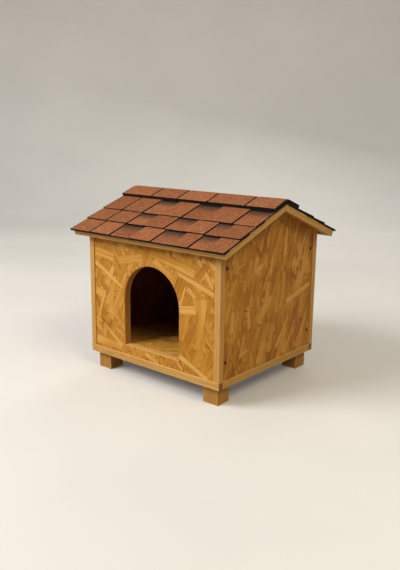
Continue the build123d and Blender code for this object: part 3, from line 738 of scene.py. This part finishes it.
def plywood(node, along, across, out, seed):
    """Plywood: wide bands on the face, and the plies on the cut edge."""
    material, w = new_material("Plywood " + node)
    place = add_place(w, along, across, out)
    low, high = span(node, (along, across, out))
    wide = w.stretch(w.vector("ADD", place, (seed, seed, 0.0)), (0.8, 5.0, 0.0))
    veneer = w.noise(wide, 1.6, 1.0)
    band = w.math("SINE", w.times(veneer, 120.0))
    fibre = w.drawn(place, (14.0, 420.0, 420.0), 3.0)
    darkness = w.plus(w.fade(band, -1.0, 1.0, 0.1, 0.55), w.sway(fibre, -0.15, 0.25))
    face = w.blend(darkness, *VENEER)
    depth = w.minus(w.parts(place, "z")[0], low[2])
    ply = w.times(depth, PLIES / (high[2] - low[2]))
    turn = w.math("LESS_THAN", w.math("MODULO", ply, 2.0), 1.0)
    layer_fibre = w.drawn(place, (150.0, 150.0, 900.0))
    layer = w.blend(w.times(turn, 0.8), *VENEER)
    layer = w.blend(w.sway(layer_fibre, 0.0, 0.3), layer, w.tint(layer, rgb(170, 140, 110)))
    normal = w.coordinates("Normal")
    is_face = w.fade(w.size(w.vector("DOT_PRODUCT", normal, out)), 0.6, 0.8)
    lying = w.fade(w.parts(normal, "z")[0], 0.7, 0.9, 0.0, 0.75)
    # Cut faces that face up are paler: partly wear where the cat steps, partly painted light on top faces.
    layer = w.blend(lying, layer, w.blend(w.sway(layer_fibre), *SILL_WEAR_AND_TOP_LIGHT))
    colour = w.blend(is_face, layer, face)
    height = w.plus(w.times(fibre, 0.8), w.times(turn, 0.1))
    finish_material(w, colour, w.sway(fibre, 0.55, 0.75), height, 0.15 * mm)
    dress(node, material)


plywood("front_lining", Z, X, Y, 1.0)
plywood("left_gusset", Y, Z, X, 2.0)
plywood("right_gusset", Y, Z, X, 3.0)
print("plywood on 3 pieces")

# %% [markdown]
# ## Shingles: granules on felt
#
# A shingle is bitumen felt with crushed stone rolled into its top. The stone is a mix of terracotta grains
# with some dark and some pale ones, each 1 to 2 mm across, so a fine cell pattern gives each grain its own
# colour and height. Edges and undersides show the black felt, and on the top a thin black rim along the butts
# and slots is bare felt widened by painted shade. A paler band inside that rim is scuffing with a painted
# highlight. The tabs of the lower ply are printed with a dark band where the course above them begins, so
# that the roof looks deeper, and right under that course a black strip is painted shadow.
#
# The pattern needs to know where on its tab a point is, so the shingles will carry that with them as named
# values: how far up the tab it is, how much is left to the next course, how near the tab's side, which ply,
# and the tab's own tone.

# %% The shingle material
TERRACOTTA, BRICK, SAND, SLATE, BITUMEN = (
    rgb(177, 115, 77), rgb(146, 87, 57), rgb(208, 154, 114), rgb(48, 39, 33), rgb(16, 15, 16),
)
shingle_finish, w = new_material("Shingle granules")
spot = w.coordinates()
grain_scale, print_start, print_end = 640.0, 5 * mm, 44 * mm
grain = w.node("ShaderNodeTexVoronoi", {"Vector": spot, "Scale": grain_scale}).outputs
kind = w.chances(w.stretch(grain["Color"], (97.0, 89.0, 83.0)))
tab_up, tab_side, tab_ply, tab_tone, tab_left = [
    w.add("ShaderNodeAttribute", attribute_name=name, out="Fac")
    for name in ("tab_up", "tab_side", "tab_ply", "tab_tone", "tab_left")
]
patch = w.noise(spot, 34.0, 3.0)
mottle = w.noise(spot, 190.0, 2.0)
stone = w.blend(w.between(kind[0], 0.0, 0.62), TERRACOTTA, BRICK)
stone = w.blend(w.times(w.fade(kind[1], 0.80, 0.92), 0.55), stone, SAND)
stone = w.blend(w.times(w.fade(kind[2], 0.88, 0.95), 0.6), stone, SLATE)
stone = w.blend(w.sway(patch, 0.0, 0.30), stone, BRICK)
stone = w.tint(stone, rgb(196, 180, 168), w.fade(mottle, 0.35, 0.65, 0.75, 0.0))
stone = w.tint(stone, w.blend(tab_tone, rgb(226, 220, 216), rgb(255, 255, 255)))
print_edge = w.plus(tab_left, w.between(kind[0], -5 * mm, 5 * mm))
print_band = w.times(w.fade(print_edge, print_start, print_end, 1.0, 0.0), tab_ply)
print_colour = w.blend(kind[1], SLATE, rgb(86, 64, 50))
stone = w.blend(w.times(print_band, 0.95), stone, print_colour)
# Painted shadow: a black strip at the top of each lower-ply tab, just under the butt of the course above.
painted_butt_shadow = w.times(w.fade(tab_left, 2 * mm, 7 * mm, 0.9, 0.0), tab_ply)
stone = w.blend(painted_butt_shadow, stone, BITUMEN)
near_edge = w.least(tab_up, tab_side)
ragged = w.sway(w.noise(spot, 420.0, 2.0), 0.2 * mm, 1.6 * mm)
# Granules near the tab edges are paler: scuffing, and a painted highlight along the rim.
scuffed_and_highlit_rim = w.rest(w.fade(w.minus(near_edge, ragged), 0.6 * mm, 3.4 * mm))
stone = w.blend(w.times(scuffed_and_highlit_rim, 0.25), stone, SAND)
# The top next to the butt and slot edges is black: bare felt, widened by painted shade.
bare_felt_and_shade = w.rest(w.fade(w.minus(near_edge, w.times(ragged, 0.3)), 0.9 * mm, 1.5 * mm))
stone = w.blend(bare_felt_and_shade, stone, BITUMEN)
normal_up = w.parts(w.coordinates("Normal"), "z")[0]
on_top = w.fade(normal_up, 0.55, 0.75)
felt = w.blend(w.sway(w.noise(spot, 300.0, 2.0)), BITUMEN, rgb(24, 21, 20))
crumb = w.times(w.fade(kind[1], 0.86, 0.9), 0.2)
colour = w.blend(on_top, w.blend(crumb, felt, BRICK), stone)
height = w.rest(w.times(grain["Distance"], w.between(kind[2], 0.7, 1.5)))
roughness = w.mix(on_top, 0.9, w.between(kind[0], 0.78, 0.95))
finish_material(w, colour, roughness, height, 0.45 * mm, **{"Specular IOR Level": 0.15})

# %% [markdown]
# ## Bare felt, screws and nails
#
# The starter strips and the strip under the ridge are bare felt, matt and sandy. The screws have a black
# phosphate skin that is rubbed through to grey steel here and there. The nails are zinc coated, which
# shows as faint crystals.

# %% Felt and steel materials


def plain_finish(name, dark, pale, scale, low, high, depth, metal):
    """A finish of two mixed colours for small or hidden things."""
    material, w = new_material(name)
    spot = w.coordinates()
    speck = w.noise(spot, scale, 3.0)
    cell = w.add("ShaderNodeTexVoronoi", {"Vector": spot, "Scale": scale * 0.6}, out="Color")
    value = w.mix(0.4, w.fade(speck, 0.35, 0.75), w.parts(cell, "x")[0])
    colour = w.blend(value, dark, pale)
    finish_material(w, colour, w.mix(value, low, high), speck, depth, Metallic=metal)
    return material


felt_finish = plain_finish("Bitumen felt", BITUMEN, rgb(28, 26, 25), 900.0, 0.95, 0.8, 0.2 * mm, 0.0)
phosphate, zinc = (rgb(8, 6, 6), rgb(30, 23, 20)), (rgb(128, 130, 132), rgb(176, 178, 180))
screw_finish = plain_finish("Black screw steel", *phosphate, 1400.0, 0.7, 0.5, 0.03 * mm, 0.1)
nail_finish = plain_finish("Zinc nail steel", *zinc, 500.0, 0.5, 0.3, 0.02 * mm, 1.0)
for node in ("front_starter_strip", "rear_starter_strip", "ridge_underlay"):
    dress(node, felt_finish)
print("felt and steel ready")

# %% [markdown]
# ## Running a geometry tree
#
# Things that repeat are made by geometry nodes: a few points say where, and a tree says what grows there.
# The tree needs its input values before it first runs, and they go in by the socket's identifier. Afterwards
# the result is copied into a plain mesh, so nothing is left to compute when the piece is moved or exported.

# %% From points to a plain mesh


def point_cloud(name, places, **values):
    """A mesh of loose points, with a named value on each."""
    mesh = bpy.data.meshes.new(name)
    mesh.from_pydata([tuple(place) for place in places], [], [])
    for label, numbers in values.items():
        flat = np.array(numbers, float).ravel()
        kind, field = ("FLOAT_VECTOR", "vector") if flat.size > len(places) else ("FLOAT", "value")
        mesh.attributes.new(label, kind, "POINT").data.foreach_set(field, flat)
    return mesh


def grow(name, points, tree, values, body, node):
    """Runs a tree on the points and puts the plain result in a CAD node's place."""
    piece = bpy.data.objects.new(name, points)
    bpy.context.scene.collection.objects.link(piece)
    modifier = piece.modifiers.new("Grow", "NODES")
    modifier.node_group = tree
    for item in tree.interface.items_tree:
        if item.item_type == "SOCKET" and item.in_out == "INPUT" and item.name in values:
            modifier[item.identifier] = values[item.name]
    bpy.context.view_layer.update()
    made = piece.evaluated_get(bpy.context.evaluated_depsgraph_get())
    mesh = bpy.data.meshes.new_from_object(made)
    piece.modifiers.remove(modifier)
    piece.data = mesh
    mesh.name = name
    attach(piece, body)
    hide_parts(node)
    dressed.add(node)
    return piece


def off_by(piece, node):
    """How far the corners of a piece's box are from its CAD node's, in millimetres."""
    points = points_of(piece)
    low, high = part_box(node)
    gap = max(np.abs(points.min(0) - low).max(), np.abs(points.max(0) - high).max())
    return round(float(gap) / mm, 2)


print("trees can be run")

# %% [markdown]
# ## Shingle courses
#
# A course is one strip across the roof. Slots cut its lower part into tabs, and some tabs show the lower
# ply, a step deeper. Each tab grows on a point that carries its width and its ply: a fine-meshed slab is
# scaled to the tab, its butt edge is made to wander a little, as a hand-cut edge does, and its top rolls
# off softly at the rim. The part under the next course is one plain slab. The tree then tilts the whole
# course to the roof's slope.

# %% The shingle course tree


def named(w, label, kind="FLOAT"):
    """A value that is stored on the points."""
    return w.add("GeometryNodeInputNamedAttribute", {"Name": label}, data_type=kind)


def keep(w, geometry, label, value, kind="FLOAT"):
    """Stores a value on every point, for the tree or the material to read."""
    plugs = {"Geometry": geometry, "Name": label, "Value": value}
    return w.add("GeometryNodeStoreNamedAttribute", plugs, data_type=kind, domain="POINT")


def position(w):
    return w.add("GeometryNodeInputPosition")


def block(w, size, counts, middle):
    """A box with that many points along its sides."""
    plugs = {"Size": size, "Vertices X": counts[0], "Vertices Y": counts[1], "Vertices Z": counts[2]}
    box = w.add("GeometryNodeMeshCube", plugs)
    return w.add("GeometryNodeTransform", {"Geometry": box, "Translation": middle})


def plant(w, points, instance, **how):
    """Puts the instance on every point and makes real meshes of the copies."""
    placed = w.add("GeometryNodeInstanceOnPoints", {"Points": points, "Instance": instance, **how})
    return w.add("GeometryNodeRealizeInstances", {"Geometry": placed})


def end_tree(w, geometry, material):
    give(w, {"Geometry": w.add("GeometryNodeSetMaterial", {"Geometry": geometry, "Material": material})})


wander_reach, corner_reach, roll_reach, cap_roll_reach = 14 * mm, 4 * mm, 3.5 * mm, 5 * mm
course_tree, w, given = new_group(
    "Shingle course",
    {"Geometry": "Geometry", "Half Length": 0.29, "Exposure": 0.07, "Open": 0.076, "Head": 0.04,
     "Thickness": 0.003, "Step": 0.001, "Wander": 0.0006, "Rim": 0.0006, "Seed": 0.0,
     "Place": (0.0, 0.0, 0.0), "Tilt": (0.0, 0.0, 0.0), "Finish": shingle_finish},
    {"Geometry": "Geometry"},
    "GeometryNodeTree",
)
slab = block(w, (1.0, 1.0, 1.0), (19, 19, 3), (0.5, 0.5, 0.5))
slab = keep(w, slab, "in_tab", position(w), "FLOAT_VECTOR")
lowered = w.times(named(w, "tab_ply"), given["Step"])
size = w.join(named(w, "width"), given["Open"], w.minus(given["Thickness"], lowered))
tabs = plant(w, given["Geometry"], slab, Scale=size)
in_x, in_y, in_z = w.parts(named(w, "in_tab", "FLOAT_VECTOR"))
spot_x = w.parts(position(w), "x")[0]
left_room = w.math("MULTIPLY_ADD", in_x, named(w, "width"), w.times(named(w, "joined_left"), 0.1))
right_room = w.times(w.rest(in_x), named(w, "width"))
right_room = w.plus(right_room, w.times(named(w, "joined_right"), 0.1))
side_room = w.least(left_room, right_room)
butt_room = w.times(in_y, given["Open"])
tabs = keep(w, tabs, "tab_up", butt_room)
tabs = keep(w, tabs, "tab_side", side_room)
tabs = keep(w, tabs, "tab_left", w.minus(given["Exposure"], butt_room))
rim_room = w.least(named(w, "tab_side"), named(w, "tab_up"))
roll = w.times(w.fade(rim_room, 0.0, roll_reach, -1.0, 0.0), given["Rim"])
roll = w.times(roll, w.fade(in_z, 0.4, 1.0))
wander = w.noise(w.join(w.times(spot_x, 90.0), named(w, "tab_tone"), given["Seed"]), 1.0, 2.0)
wander = w.times(w.fade(wander, 0.25, 0.75), given["Wander"])
wander = w.times(wander, w.fade(butt_room, 0.0, wander_reach, 1.0, 0.0))
corner = [w.fade(room, 0.0, corner_reach, 1.0, 0.0) for room in (side_room, butt_room)]
wander = w.plus(wander, w.times(*corner, given["Wander"]))
tabs = w.add("GeometryNodeSetPosition", {"Geometry": tabs, "Offset": w.join(0.0, wander, roll)})
full = w.join(w.times(given["Half Length"], 2.0), given["Head"], given["Thickness"])
head_middle = w.plus(given["Open"], w.times(given["Head"], 0.5))
head = block(w, full, (59, 5, 2), w.join(0.0, head_middle, w.times(given["Thickness"], 0.5)))
under_next = {"tab_up": 0.1, "tab_side": 0.1, "tab_ply": 1.0, "tab_tone": 0.5, "tab_left": 0.0}
for label, value in under_next.items():
    head = keep(w, head, label, value)
join = w.node("GeometryNodeJoinGeometry")
for part in (head, tabs):
    w.plug(part, join.inputs["Geometry"])
course = w.add("GeometryNodeTransform", {
    "Geometry": join.outputs[0], "Translation": given["Place"], "Rotation": given["Tilt"],
})
course = w.add("GeometryNodeRealizeInstances", {"Geometry": course})
end_tree(w, course, given["Finish"])
print("course tree has", len(course_tree.nodes), "nodes")

# %% [markdown]
# ## Laying the courses
#
# Where a course lies is read from its CAD node: its butt is the lowest edge, and its lean comes from the top
# faces. Its thickness, its tabs' shares of the length and how much of it lies open are given here. The rear
# slope is the front one turned half round.

# %% Lay three courses on each slope
TAB_SHARES = [
    [86, 82, 80, 80, 76, 58, 56, 62],
    [84, 88, 66, 80, 70, 74, 48, 70],
    [84, 88, 72, 80, 82, 96, 78],
]
PLAIN_TABS = 2
OPEN_LENGTHS = [76 * mm, 76 * mm, 92.64 * mm]
slot_width, slot_run_under, thin_step, shingle_thickness = 3.5 * mm, 6 * mm, 1 * mm, 3 * mm
past_rake = -0.012


def row_edges(shares, half_length, slots):
    """The left and right ends of the tabs in a row. Each slot takes half its width from both its tabs."""
    edges = half_length * (2 * np.cumsum([0] + shares) / sum(shares) - 1)
    half_slots = np.array(slots) * slot_width / 2
    return edges[:-1] + half_slots[:-1], edges[1:] - half_slots[1:]


def is_slotless(tab):
    """After the first plain tabs, every second tab is of the lower ply and has no slot on its right."""
    return tab >= PLAIN_TABS and (tab - PLAIN_TABS) % 2 == 0


def tab_points(name, shares, half_length, seed):
    """A point at the left end of each tab, with its width, its ply and a tone of its own."""
    chance = np.random.default_rng(seed)
    count = len(shares)
    slots = [0] + [0 if is_slotless(tab) else 1 for tab in range(count - 1)] + [0]
    joined = [past_rake] + [1 - slot for slot in slots[1:-1]] + [past_rake]
    lefts, rights = row_edges(shares, half_length, slots)
    return point_cloud(
        name, [(left, 0, 0) for left in lefts], width=rights - lefts,
        tab_ply=[is_slotless(tab) for tab in range(count)],
        joined_left=joined[:-1], joined_right=joined[1:], tab_tone=chance.uniform(0, 1, count),
    )


def course_lie(node, face):
    """The butt's underside, the lean and the length of a course, from its CAD node."""
    points = points_of(nodes[node])
    weight = np.zeros(3)
    for polygon in nodes[node].data.polygons:
        if polygon.normal.z > 0.7:
            weight += np.array(polygon.normal) * polygon.area
    out = weight / np.linalg.norm(weight)
    up = np.cross(out, (-face, 0, 0))
    up_places, out_places = points @ up, points @ out
    butt = up * up_places.min() + out * out_places.min()
    return butt, math.atan2(face * out[1], out[2]), float(np.ptp(up_places)), float(points[:, 0].max())


for face, face_name in ((-1, "front"), (1, "rear")):
    for number, (shares, open_length) in enumerate(zip(TAB_SHARES, OPEN_LENGTHS), start=1):
        node = f"{face_name}_course_{number}"
        butt, lean, length, half_length = course_lie(node, face)
        seed = number + 10 * (face + 1)
        piece = grow(
            f"{face_name}_shingles_{number}",
            tab_points(f"{face_name}_tabs_{number}", shares, half_length, seed),
            course_tree,
            {"Half Length": half_length, "Exposure": open_length - slot_run_under, "Open": open_length,
             "Head": length - open_length, "Thickness": shingle_thickness, "Step": thin_step,
             "Seed": float(seed), "Place": tuple(map(float, butt)),
             "Tilt": (lean, 0.0, 0.0 if face < 0 else math.pi), "Finish": shingle_finish},
            "roof", node,
        )
        print(piece.name, "leans", round(math.degrees(lean), 2), "degrees, off by", off_by(piece, node), "mm")

# %% [markdown]
# ## Ridge shingles
#
# Five thick shingles are folded over the ridge, side by side. The tree lays flat slabs and then bends them:
# a rule gives each point its new place. Along a leg the rule is a straight slope, and near the middle it is
# a small round, because felt doesn't fold sharply.

# %% The ridge cap tree
cap_tree, w, given = new_group(
    "Ridge cap",
    {"Geometry": "Geometry", "Leg": 0.062, "Thickness": 0.007, "Fold": 0.333, "Bottom": 0.5, "Bend": 0.005,
     "Wander": 0.001, "Rim": 0.0012, "Seed": 0.0, "Finish": shingle_finish},
    {"Geometry": "Geometry"},
    "GeometryNodeTree",
)
slab = block(w, (1.0, 2.0, 1.0), (25, 45, 4), (0.5, 0.0, 0.5))
slab = keep(w, slab, "in_tab", position(w), "FLOAT_VECTOR")
caps = plant(w, given["Geometry"], slab, Scale=w.join(named(w, "width"), 1.0, 1.0))
in_x, in_y, in_z = w.parts(named(w, "in_tab", "FLOAT_VECTOR"))
spot_x = w.parts(position(w), "x")[0]
side_room = w.times(w.least(in_x, w.rest(in_x)), named(w, "width"))
butt_room = w.times(w.rest(w.size(in_y)), given["Leg"])
caps = keep(w, caps, "tab_up", butt_room)
caps = keep(w, caps, "tab_side", side_room)
wander = w.noise(w.join(w.times(spot_x, 60.0), in_y, given["Seed"]), 1.0, 2.0)
wander = w.times(w.fade(wander, 0.25, 0.75), given["Wander"])
wander = w.times(wander, w.fade(named(w, "tab_up"), 0.0, wander_reach, 1.0, 0.0))
along = w.times(in_y, w.minus(given["Leg"], wander))


def rounded(w, value, bend):
    """The size of a number without its sign, with a small round where the sign changes."""
    square = w.plus(w.times(value, value), w.times(bend, bend))
    return w.minus(w.math("SQRT", square), bend)


stretch = w.math("DIVIDE", given["Leg"], rounded(w, given["Leg"], given["Bend"]))
fallen = w.times(rounded(w, along, given["Bend"]), stretch)
side = w.math("DIVIDE", along, w.plus(rounded(w, along, given["Bend"]), given["Bend"]))
rim_room = w.least(named(w, "tab_side"), named(w, "tab_up"))
roll = w.times(w.fade(rim_room, 0.0, cap_roll_reach, 1.0, 0.0), given["Rim"])
roll = w.times(roll, w.fade(in_z, 0.3, 1.0))
up = w.minus(w.times(in_z, given["Thickness"]), roll)
sine, cosine = w.math("SINE", given["Fold"]), w.math("COSINE", given["Fold"])
new_y = w.math("MULTIPLY_ADD", w.times(side, up), sine, w.times(along, cosine))
new_z = w.minus(w.math("MULTIPLY_ADD", up, cosine, given["Bottom"]), w.times(fallen, sine))
caps = w.add("GeometryNodeSetPosition", {"Geometry": caps, "Position": w.join(spot_x, new_y, new_z)})
end_tree(w, caps, given["Finish"])
print("cap tree has", len(cap_tree.nodes), "nodes")

# %% [markdown]
# The fold and the height of the caps come from their CAD node, and only their widths are new.

# %% Five ridge shingles
CAP_SHARES = [128, 105, 114, 134, 99]
cap_leg, cap_thickness = 62 * mm, 7 * mm
low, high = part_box("ridge_caps")
lefts, rights = row_edges(CAP_SHARES, float(high[0]), [0, 1, 1, 1, 1, 0])
cap_points = point_cloud(
    "cap_spots", [(left, 0, 0) for left in lefts], width=rights - lefts, tab_ply=[0] * len(CAP_SHARES),
    tab_tone=[0.7, 0.35, 0.9, 0.5, 0.75],
)
diagonal = math.hypot(cap_leg, cap_thickness)
fold = math.acos(float(high[1]) / diagonal) + math.asin(cap_thickness / diagonal)
piece = grow(
    "ridge_shingles", cap_points, cap_tree,
    {"Leg": cap_leg, "Thickness": cap_thickness, "Fold": fold, "Seed": 4.0, "Finish": shingle_finish,
     "Bottom": float(low[2]) + cap_leg * math.sin(fold)},
    "roof", "ridge_caps",
)
print("caps fold by", round(math.degrees(fold), 2), "degrees, off by", off_by(piece, "ridge_caps"), "mm")

# %% [markdown]
# ## Screws and nails
#
# The CAD model has each screw as a plain pin with a countersunk head. A real chipboard screw has a coarse
# thread and a cross recess. One screw is built here as a stack of rings: each ring is sixteen points around
# the axis, and the radius follows a rule. In the thread the rule looks at how far the point is along the
# spiral, and at the top it draws the cross. The rings are joined to quads.

# %% Building one screw or nail
CROSS_TURNS = [quarter + turn for quarter in (0, 90, 180, 270) for turn in (0, 14.04, 45, 75.96)]


def stack_rings(name, rings, turns):
    """A closed mesh from rings of (height, radius rule), from the top down."""
    shape = bmesh.new()
    rows = []
    for height, radius in rings:
        angles = [math.radians(turn) for turn in turns]
        places = [(radius(a) * math.cos(a), radius(a) * math.sin(a), height) for a in angles]
        rows.append([shape.verts.new(place) for place in places])
    for upper, lower in zip(rows, rows[1:]):
        for here in range(len(turns)):
            after = (here + 1) % len(turns)
            shape.faces.new((upper[here], lower[here], lower[after], upper[after]))
    for row, height in ((rows[0], rings[0][0]), (rows[-1], rings[-1][0])):
        middle = shape.verts.new((0, 0, height))
        for here in range(len(turns)):
            shape.faces.new((middle, row[here], row[(here + 1) % len(turns)]))
    bmesh.ops.recalc_face_normals(shape, faces=shape.faces)
    mesh = bpy.data.meshes.new(name)
    shape.to_mesh(mesh)
    shape.free()
    return mesh


def cross_outline(half_bar, half_width):
    """The distance to the outline of a cross in each direction."""

    def radius(angle):
        c, s = abs(math.cos(angle)) + 1e-9, abs(math.sin(angle)) + 1e-9
        return max(min(half_bar / c, half_width / s), min(half_width / c, half_bar / s))

    return radius


def screw_mesh(length, shank, head):
    """A countersunk screw with a cross recess and a spiral thread. Its head's top is at the origin."""
    pitch, rim = 2.6 * mm, 0.4 * mm
    cone_end = -(rim + head - shank)
    recess = cross_outline(head / 2, head / 8)
    rings = [
        (-1.5 * mm, lambda a: recess(a) * 0.55), (0.0, recess), (0.0, lambda a: head - 0.25 * mm),
        (-0.12 * mm, lambda a: head), (-rim, lambda a: head), (cone_end, lambda a: shank * 0.8),
    ]

    def thread(height):
        tip = min(1.0, (height + length) / (4 * mm))

        def radius(angle):
            share = (height / pitch - angle / (2 * math.pi)) % 1.0
            crest = max(0.0, 1.0 - abs(share - 0.5) / 0.22)
            return shank * (0.72 + 0.28 * crest) * max(tip, 0.06)

        return radius

    count = int((length + cone_end) / (pitch / 6))
    for step in range(count + 1):
        height = cone_end - rim - (length + cone_end - rim) * step / count
        rings.append((height, thread(height)))
    return stack_rings("screw", rings, CROSS_TURNS)


def nail_mesh(length, shank, head):
    """A clout nail: a wide flat head, grip rings under it and a sharp tip."""
    rings = [(0.0, lambda a: head * 0.75), (-0.15 * mm, lambda a: head * 0.97), (-0.4 * mm, lambda a: head)]
    rings += [(-0.9 * mm, lambda a: head), (-1 * mm, lambda a: head * 0.96), (-1 * mm, lambda a: shank)]
    for grip in range(5):
        height = -(1.8 + 0.7 * grip) * mm
        rings += [(height, lambda a: shank), (height - 0.25 * mm, lambda a: shank * 0.86)]
    rings += [(-(length - 2 * mm), lambda a: shank), (-length, lambda a: 0.05 * mm)]
    return stack_rings("nail", rings, range(0, 360, 24))


print("a 35 mm screw has", len(screw_mesh(35 * mm, 1.75 * mm, 4 * mm).polygons), "faces")

# %% [markdown]
# ## Putting the screws where the CAD screws are
#
# The tree puts the built screw on each point, turns it along the axis and gives it a spin by chance, as
# real screws end at no set angle.

# %% The fixing tree
fixing_tree, w, given = new_group(
    "Fixings",
    {"Geometry": "Geometry", "Fixing": "Object", "Finish": screw_finish, "Seed": 1},
    {"Geometry": "Geometry"},
    "GeometryNodeTree",
)
one = w.add("GeometryNodeObjectInfo", {"Object": given["Fixing"]}, out="Geometry")
facing = named(w, "facing", "FLOAT_VECTOR")
lined_up = w.add("FunctionNodeAlignRotationToVector", {"Vector": facing}, axis="Z")
whole_turn = {2: 0.0, 3: 2 * math.pi, "Seed": given["Seed"]}
spin = w.add("FunctionNodeRandomValue", whole_turn, out=1, data_type="FLOAT")
spin = w.add("FunctionNodeAxisAngleToRotation", {"Axis": (0.0, 0.0, 1.0), "Angle": spin})
turn = w.add("FunctionNodeRotateRotation", {"Rotation": lined_up, "Rotate By": spin}, rotation_space="LOCAL")
end_tree(w, plant(w, given["Geometry"], one, Rotation=turn), given["Finish"])
print("fixing tree has", len(fixing_tree.nodes), "nodes")

# %% All screws and nails
house_screws = ("gable_wall", "batten", "rail", "bearer", "foot", "floor", "lining")
FIXINGS = {part + "_screws": ("house", "screw_steel") for part in house_screws}
FIXINGS |= {"deck_screws": ("roof", "screw_steel"), "shingle_nails": ("roof", "nail_steel")}
for seed, (node, (body, slot)) in enumerate(FIXINGS.items()):
    lies = lies_of(node)
    length = float(np.median([lie[2] for lie in lies]))
    if node == "shingle_nails":
        pattern, finish = nail_mesh(length, 1.25 * mm, 4 * mm), nail_finish
    elif node == "lining_screws":
        pattern, finish = screw_mesh(length, 1.5 * mm, 3 * mm), screw_finish
    else:
        pattern, finish = screw_mesh(length, 1.75 * mm, 4 * mm), screw_finish
    one = bpy.data.objects.new("pattern", pattern)
    bpy.context.scene.collection.objects.link(one)
    spots = point_cloud(node + "_spots", [lie[0] for lie in lies], facing=[lie[1] for lie in lies])
    name = node.replace("_screws", "_cross_screws").replace("_nails", "_clout_nails")
    piece = grow(name, spots, fixing_tree, {"Fixing": one, "Finish": finish, "Seed": seed}, body, node)
    bpy.data.objects.remove(one)
    print(name, len(lies), "of", round(length / mm, 1), "mm, off by", off_by(piece, node), "mm")

# %% [markdown]
# ## Studio
#
# A plain pale floor that curves up into a plain pale wall, so no corner shows behind the house. Seen by the
# camera or in a reflection the floor is pale. For the light that it throws back on the house it is as dark
# as plain ground outdoors, so the walls are lit from above and the eaves keep their shade.

# %% Floor, lights and camera


def studio_floor():
    """A sheet that runs back along the floor and bends up behind."""
    near, far, bend, top, half_width = -6.0, 3.0, 2.0, 7.0, 9.0
    mesh = bpy.data.meshes.new("studio_floor")
    rows = [(near, 0.0), (far, 0.0)]
    rows += [(far + bend * math.sin(a), bend - bend * math.cos(a)) for a in np.linspace(0.1, math.pi / 2, 16)]
    rows += [(far + bend, top)]
    turn = Matrix.Rotation(math.radians(40), 3, "Z")
    verts = [turn @ Vector((x, y, z)) for y, z in rows for x in (-half_width, half_width)]
    faces = [(2 * i, 2 * i + 1, 2 * i + 3, 2 * i + 2) for i in range(len(rows) - 1)]
    mesh.from_pydata(verts, [], faces)
    mesh.shade_smooth()
    floor = bpy.data.objects.new("studio_floor", mesh)
    bpy.context.scene.collection.objects.link(floor)
    return floor


floor_material, w = new_material("Studio floor")
spot = w.coordinates()
cloud = w.noise(spot, 1.3, 3.0)
colour = w.blend(w.sway(cloud), rgb(212, 213, 214), rgb(218, 219, 220))
ray = w.node("ShaderNodeLightPath").outputs
seen = w.most(ray["Is Camera Ray"], ray["Is Glossy Ray"], ray["Is Transmission Ray"])
colour = w.blend(seen, rgb(150, 134, 112), colour)
glow = w.times(seen, 0.07)
finish_material(
    w, colour, 0.9, w.noise(spot, 220.0, 2.0), 0.1 * mm,
    **{"Emission Color": (1.0, 1.0, 1.0, 1.0), "Emission Strength": glow},
)
floor = studio_floor()
floor.data.materials.append(floor_material)


def soft_light(name, place, size, strength, colour):
    """A square soft box that looks at the middle of the house."""
    lamp = bpy.data.lights.new(name, "AREA")
    lamp.size, lamp.energy, lamp.color = size, strength, colour
    box = bpy.data.objects.new(name, lamp)
    box.location = place
    box.rotation_euler = (Vector((0, 0, 0.25)) - Vector(place)).to_track_quat("-Z", "Y").to_euler()
    bpy.context.scene.collection.objects.link(box)


# Each lamp: place, size in metres, watts, colour.
soft_light("key", (-1.7, -3.0, 2.9), 2.0, 164.0, (1.0, 0.96, 0.90))
soft_light("fill", (2.6, -0.9, 3.2), 1.6, 57.0, (1.0, 0.84, 0.54))
soft_light("back", (-1.4, 3.2, 2.4), 2.0, 34.0, (1.0, 0.95, 0.88))
world = bpy.data.worlds.new("studio")
bpy.context.scene.world = world
world.use_nodes = True
world.node_tree.nodes.clear()
w = Wiring(world.node_tree)
seen = w.add("ShaderNodeLightPath", out="Is Camera Ray")
sky = w.node("ShaderNodeBackground", {"Color": (1.0, 0.94, 0.84, 1.0), "Strength": w.mix(seen, 0.34, 0.62)})
w.node("ShaderNodeOutputWorld", {"Surface": sky.outputs[0]})
bpy.context.scene.view_settings.view_transform = "Standard"

camera_place = (1.270, -1.517, 0.726)
yaw, dip, roll = -0.7025, -0.2326, 0.0116
lens_data = bpy.data.cameras.new("camera")
lens_data.lens, lens_data.sensor_width = 42.19, 36.0
camera = bpy.data.objects.new("camera", lens_data)
ahead = Vector((math.sin(yaw) * math.cos(dip), math.cos(yaw) * math.cos(dip), math.sin(dip)))
right = ahead.cross(Vector((0, 0, 1))).normalized()
top = right.cross(ahead)
rolled_right = right * math.cos(roll) + top * math.sin(roll)
rolled_top = top * math.cos(roll) - right * math.sin(roll)
turn = Matrix((rolled_right, rolled_top, -ahead)).transposed()
camera.matrix_world = Matrix.Translation(camera_place) @ turn.to_4x4()
bpy.context.scene.collection.objects.link(camera)
bpy.context.scene.camera = camera

# %% Finish
print("still without a finish:", sorted(set(nodes) - dressed))
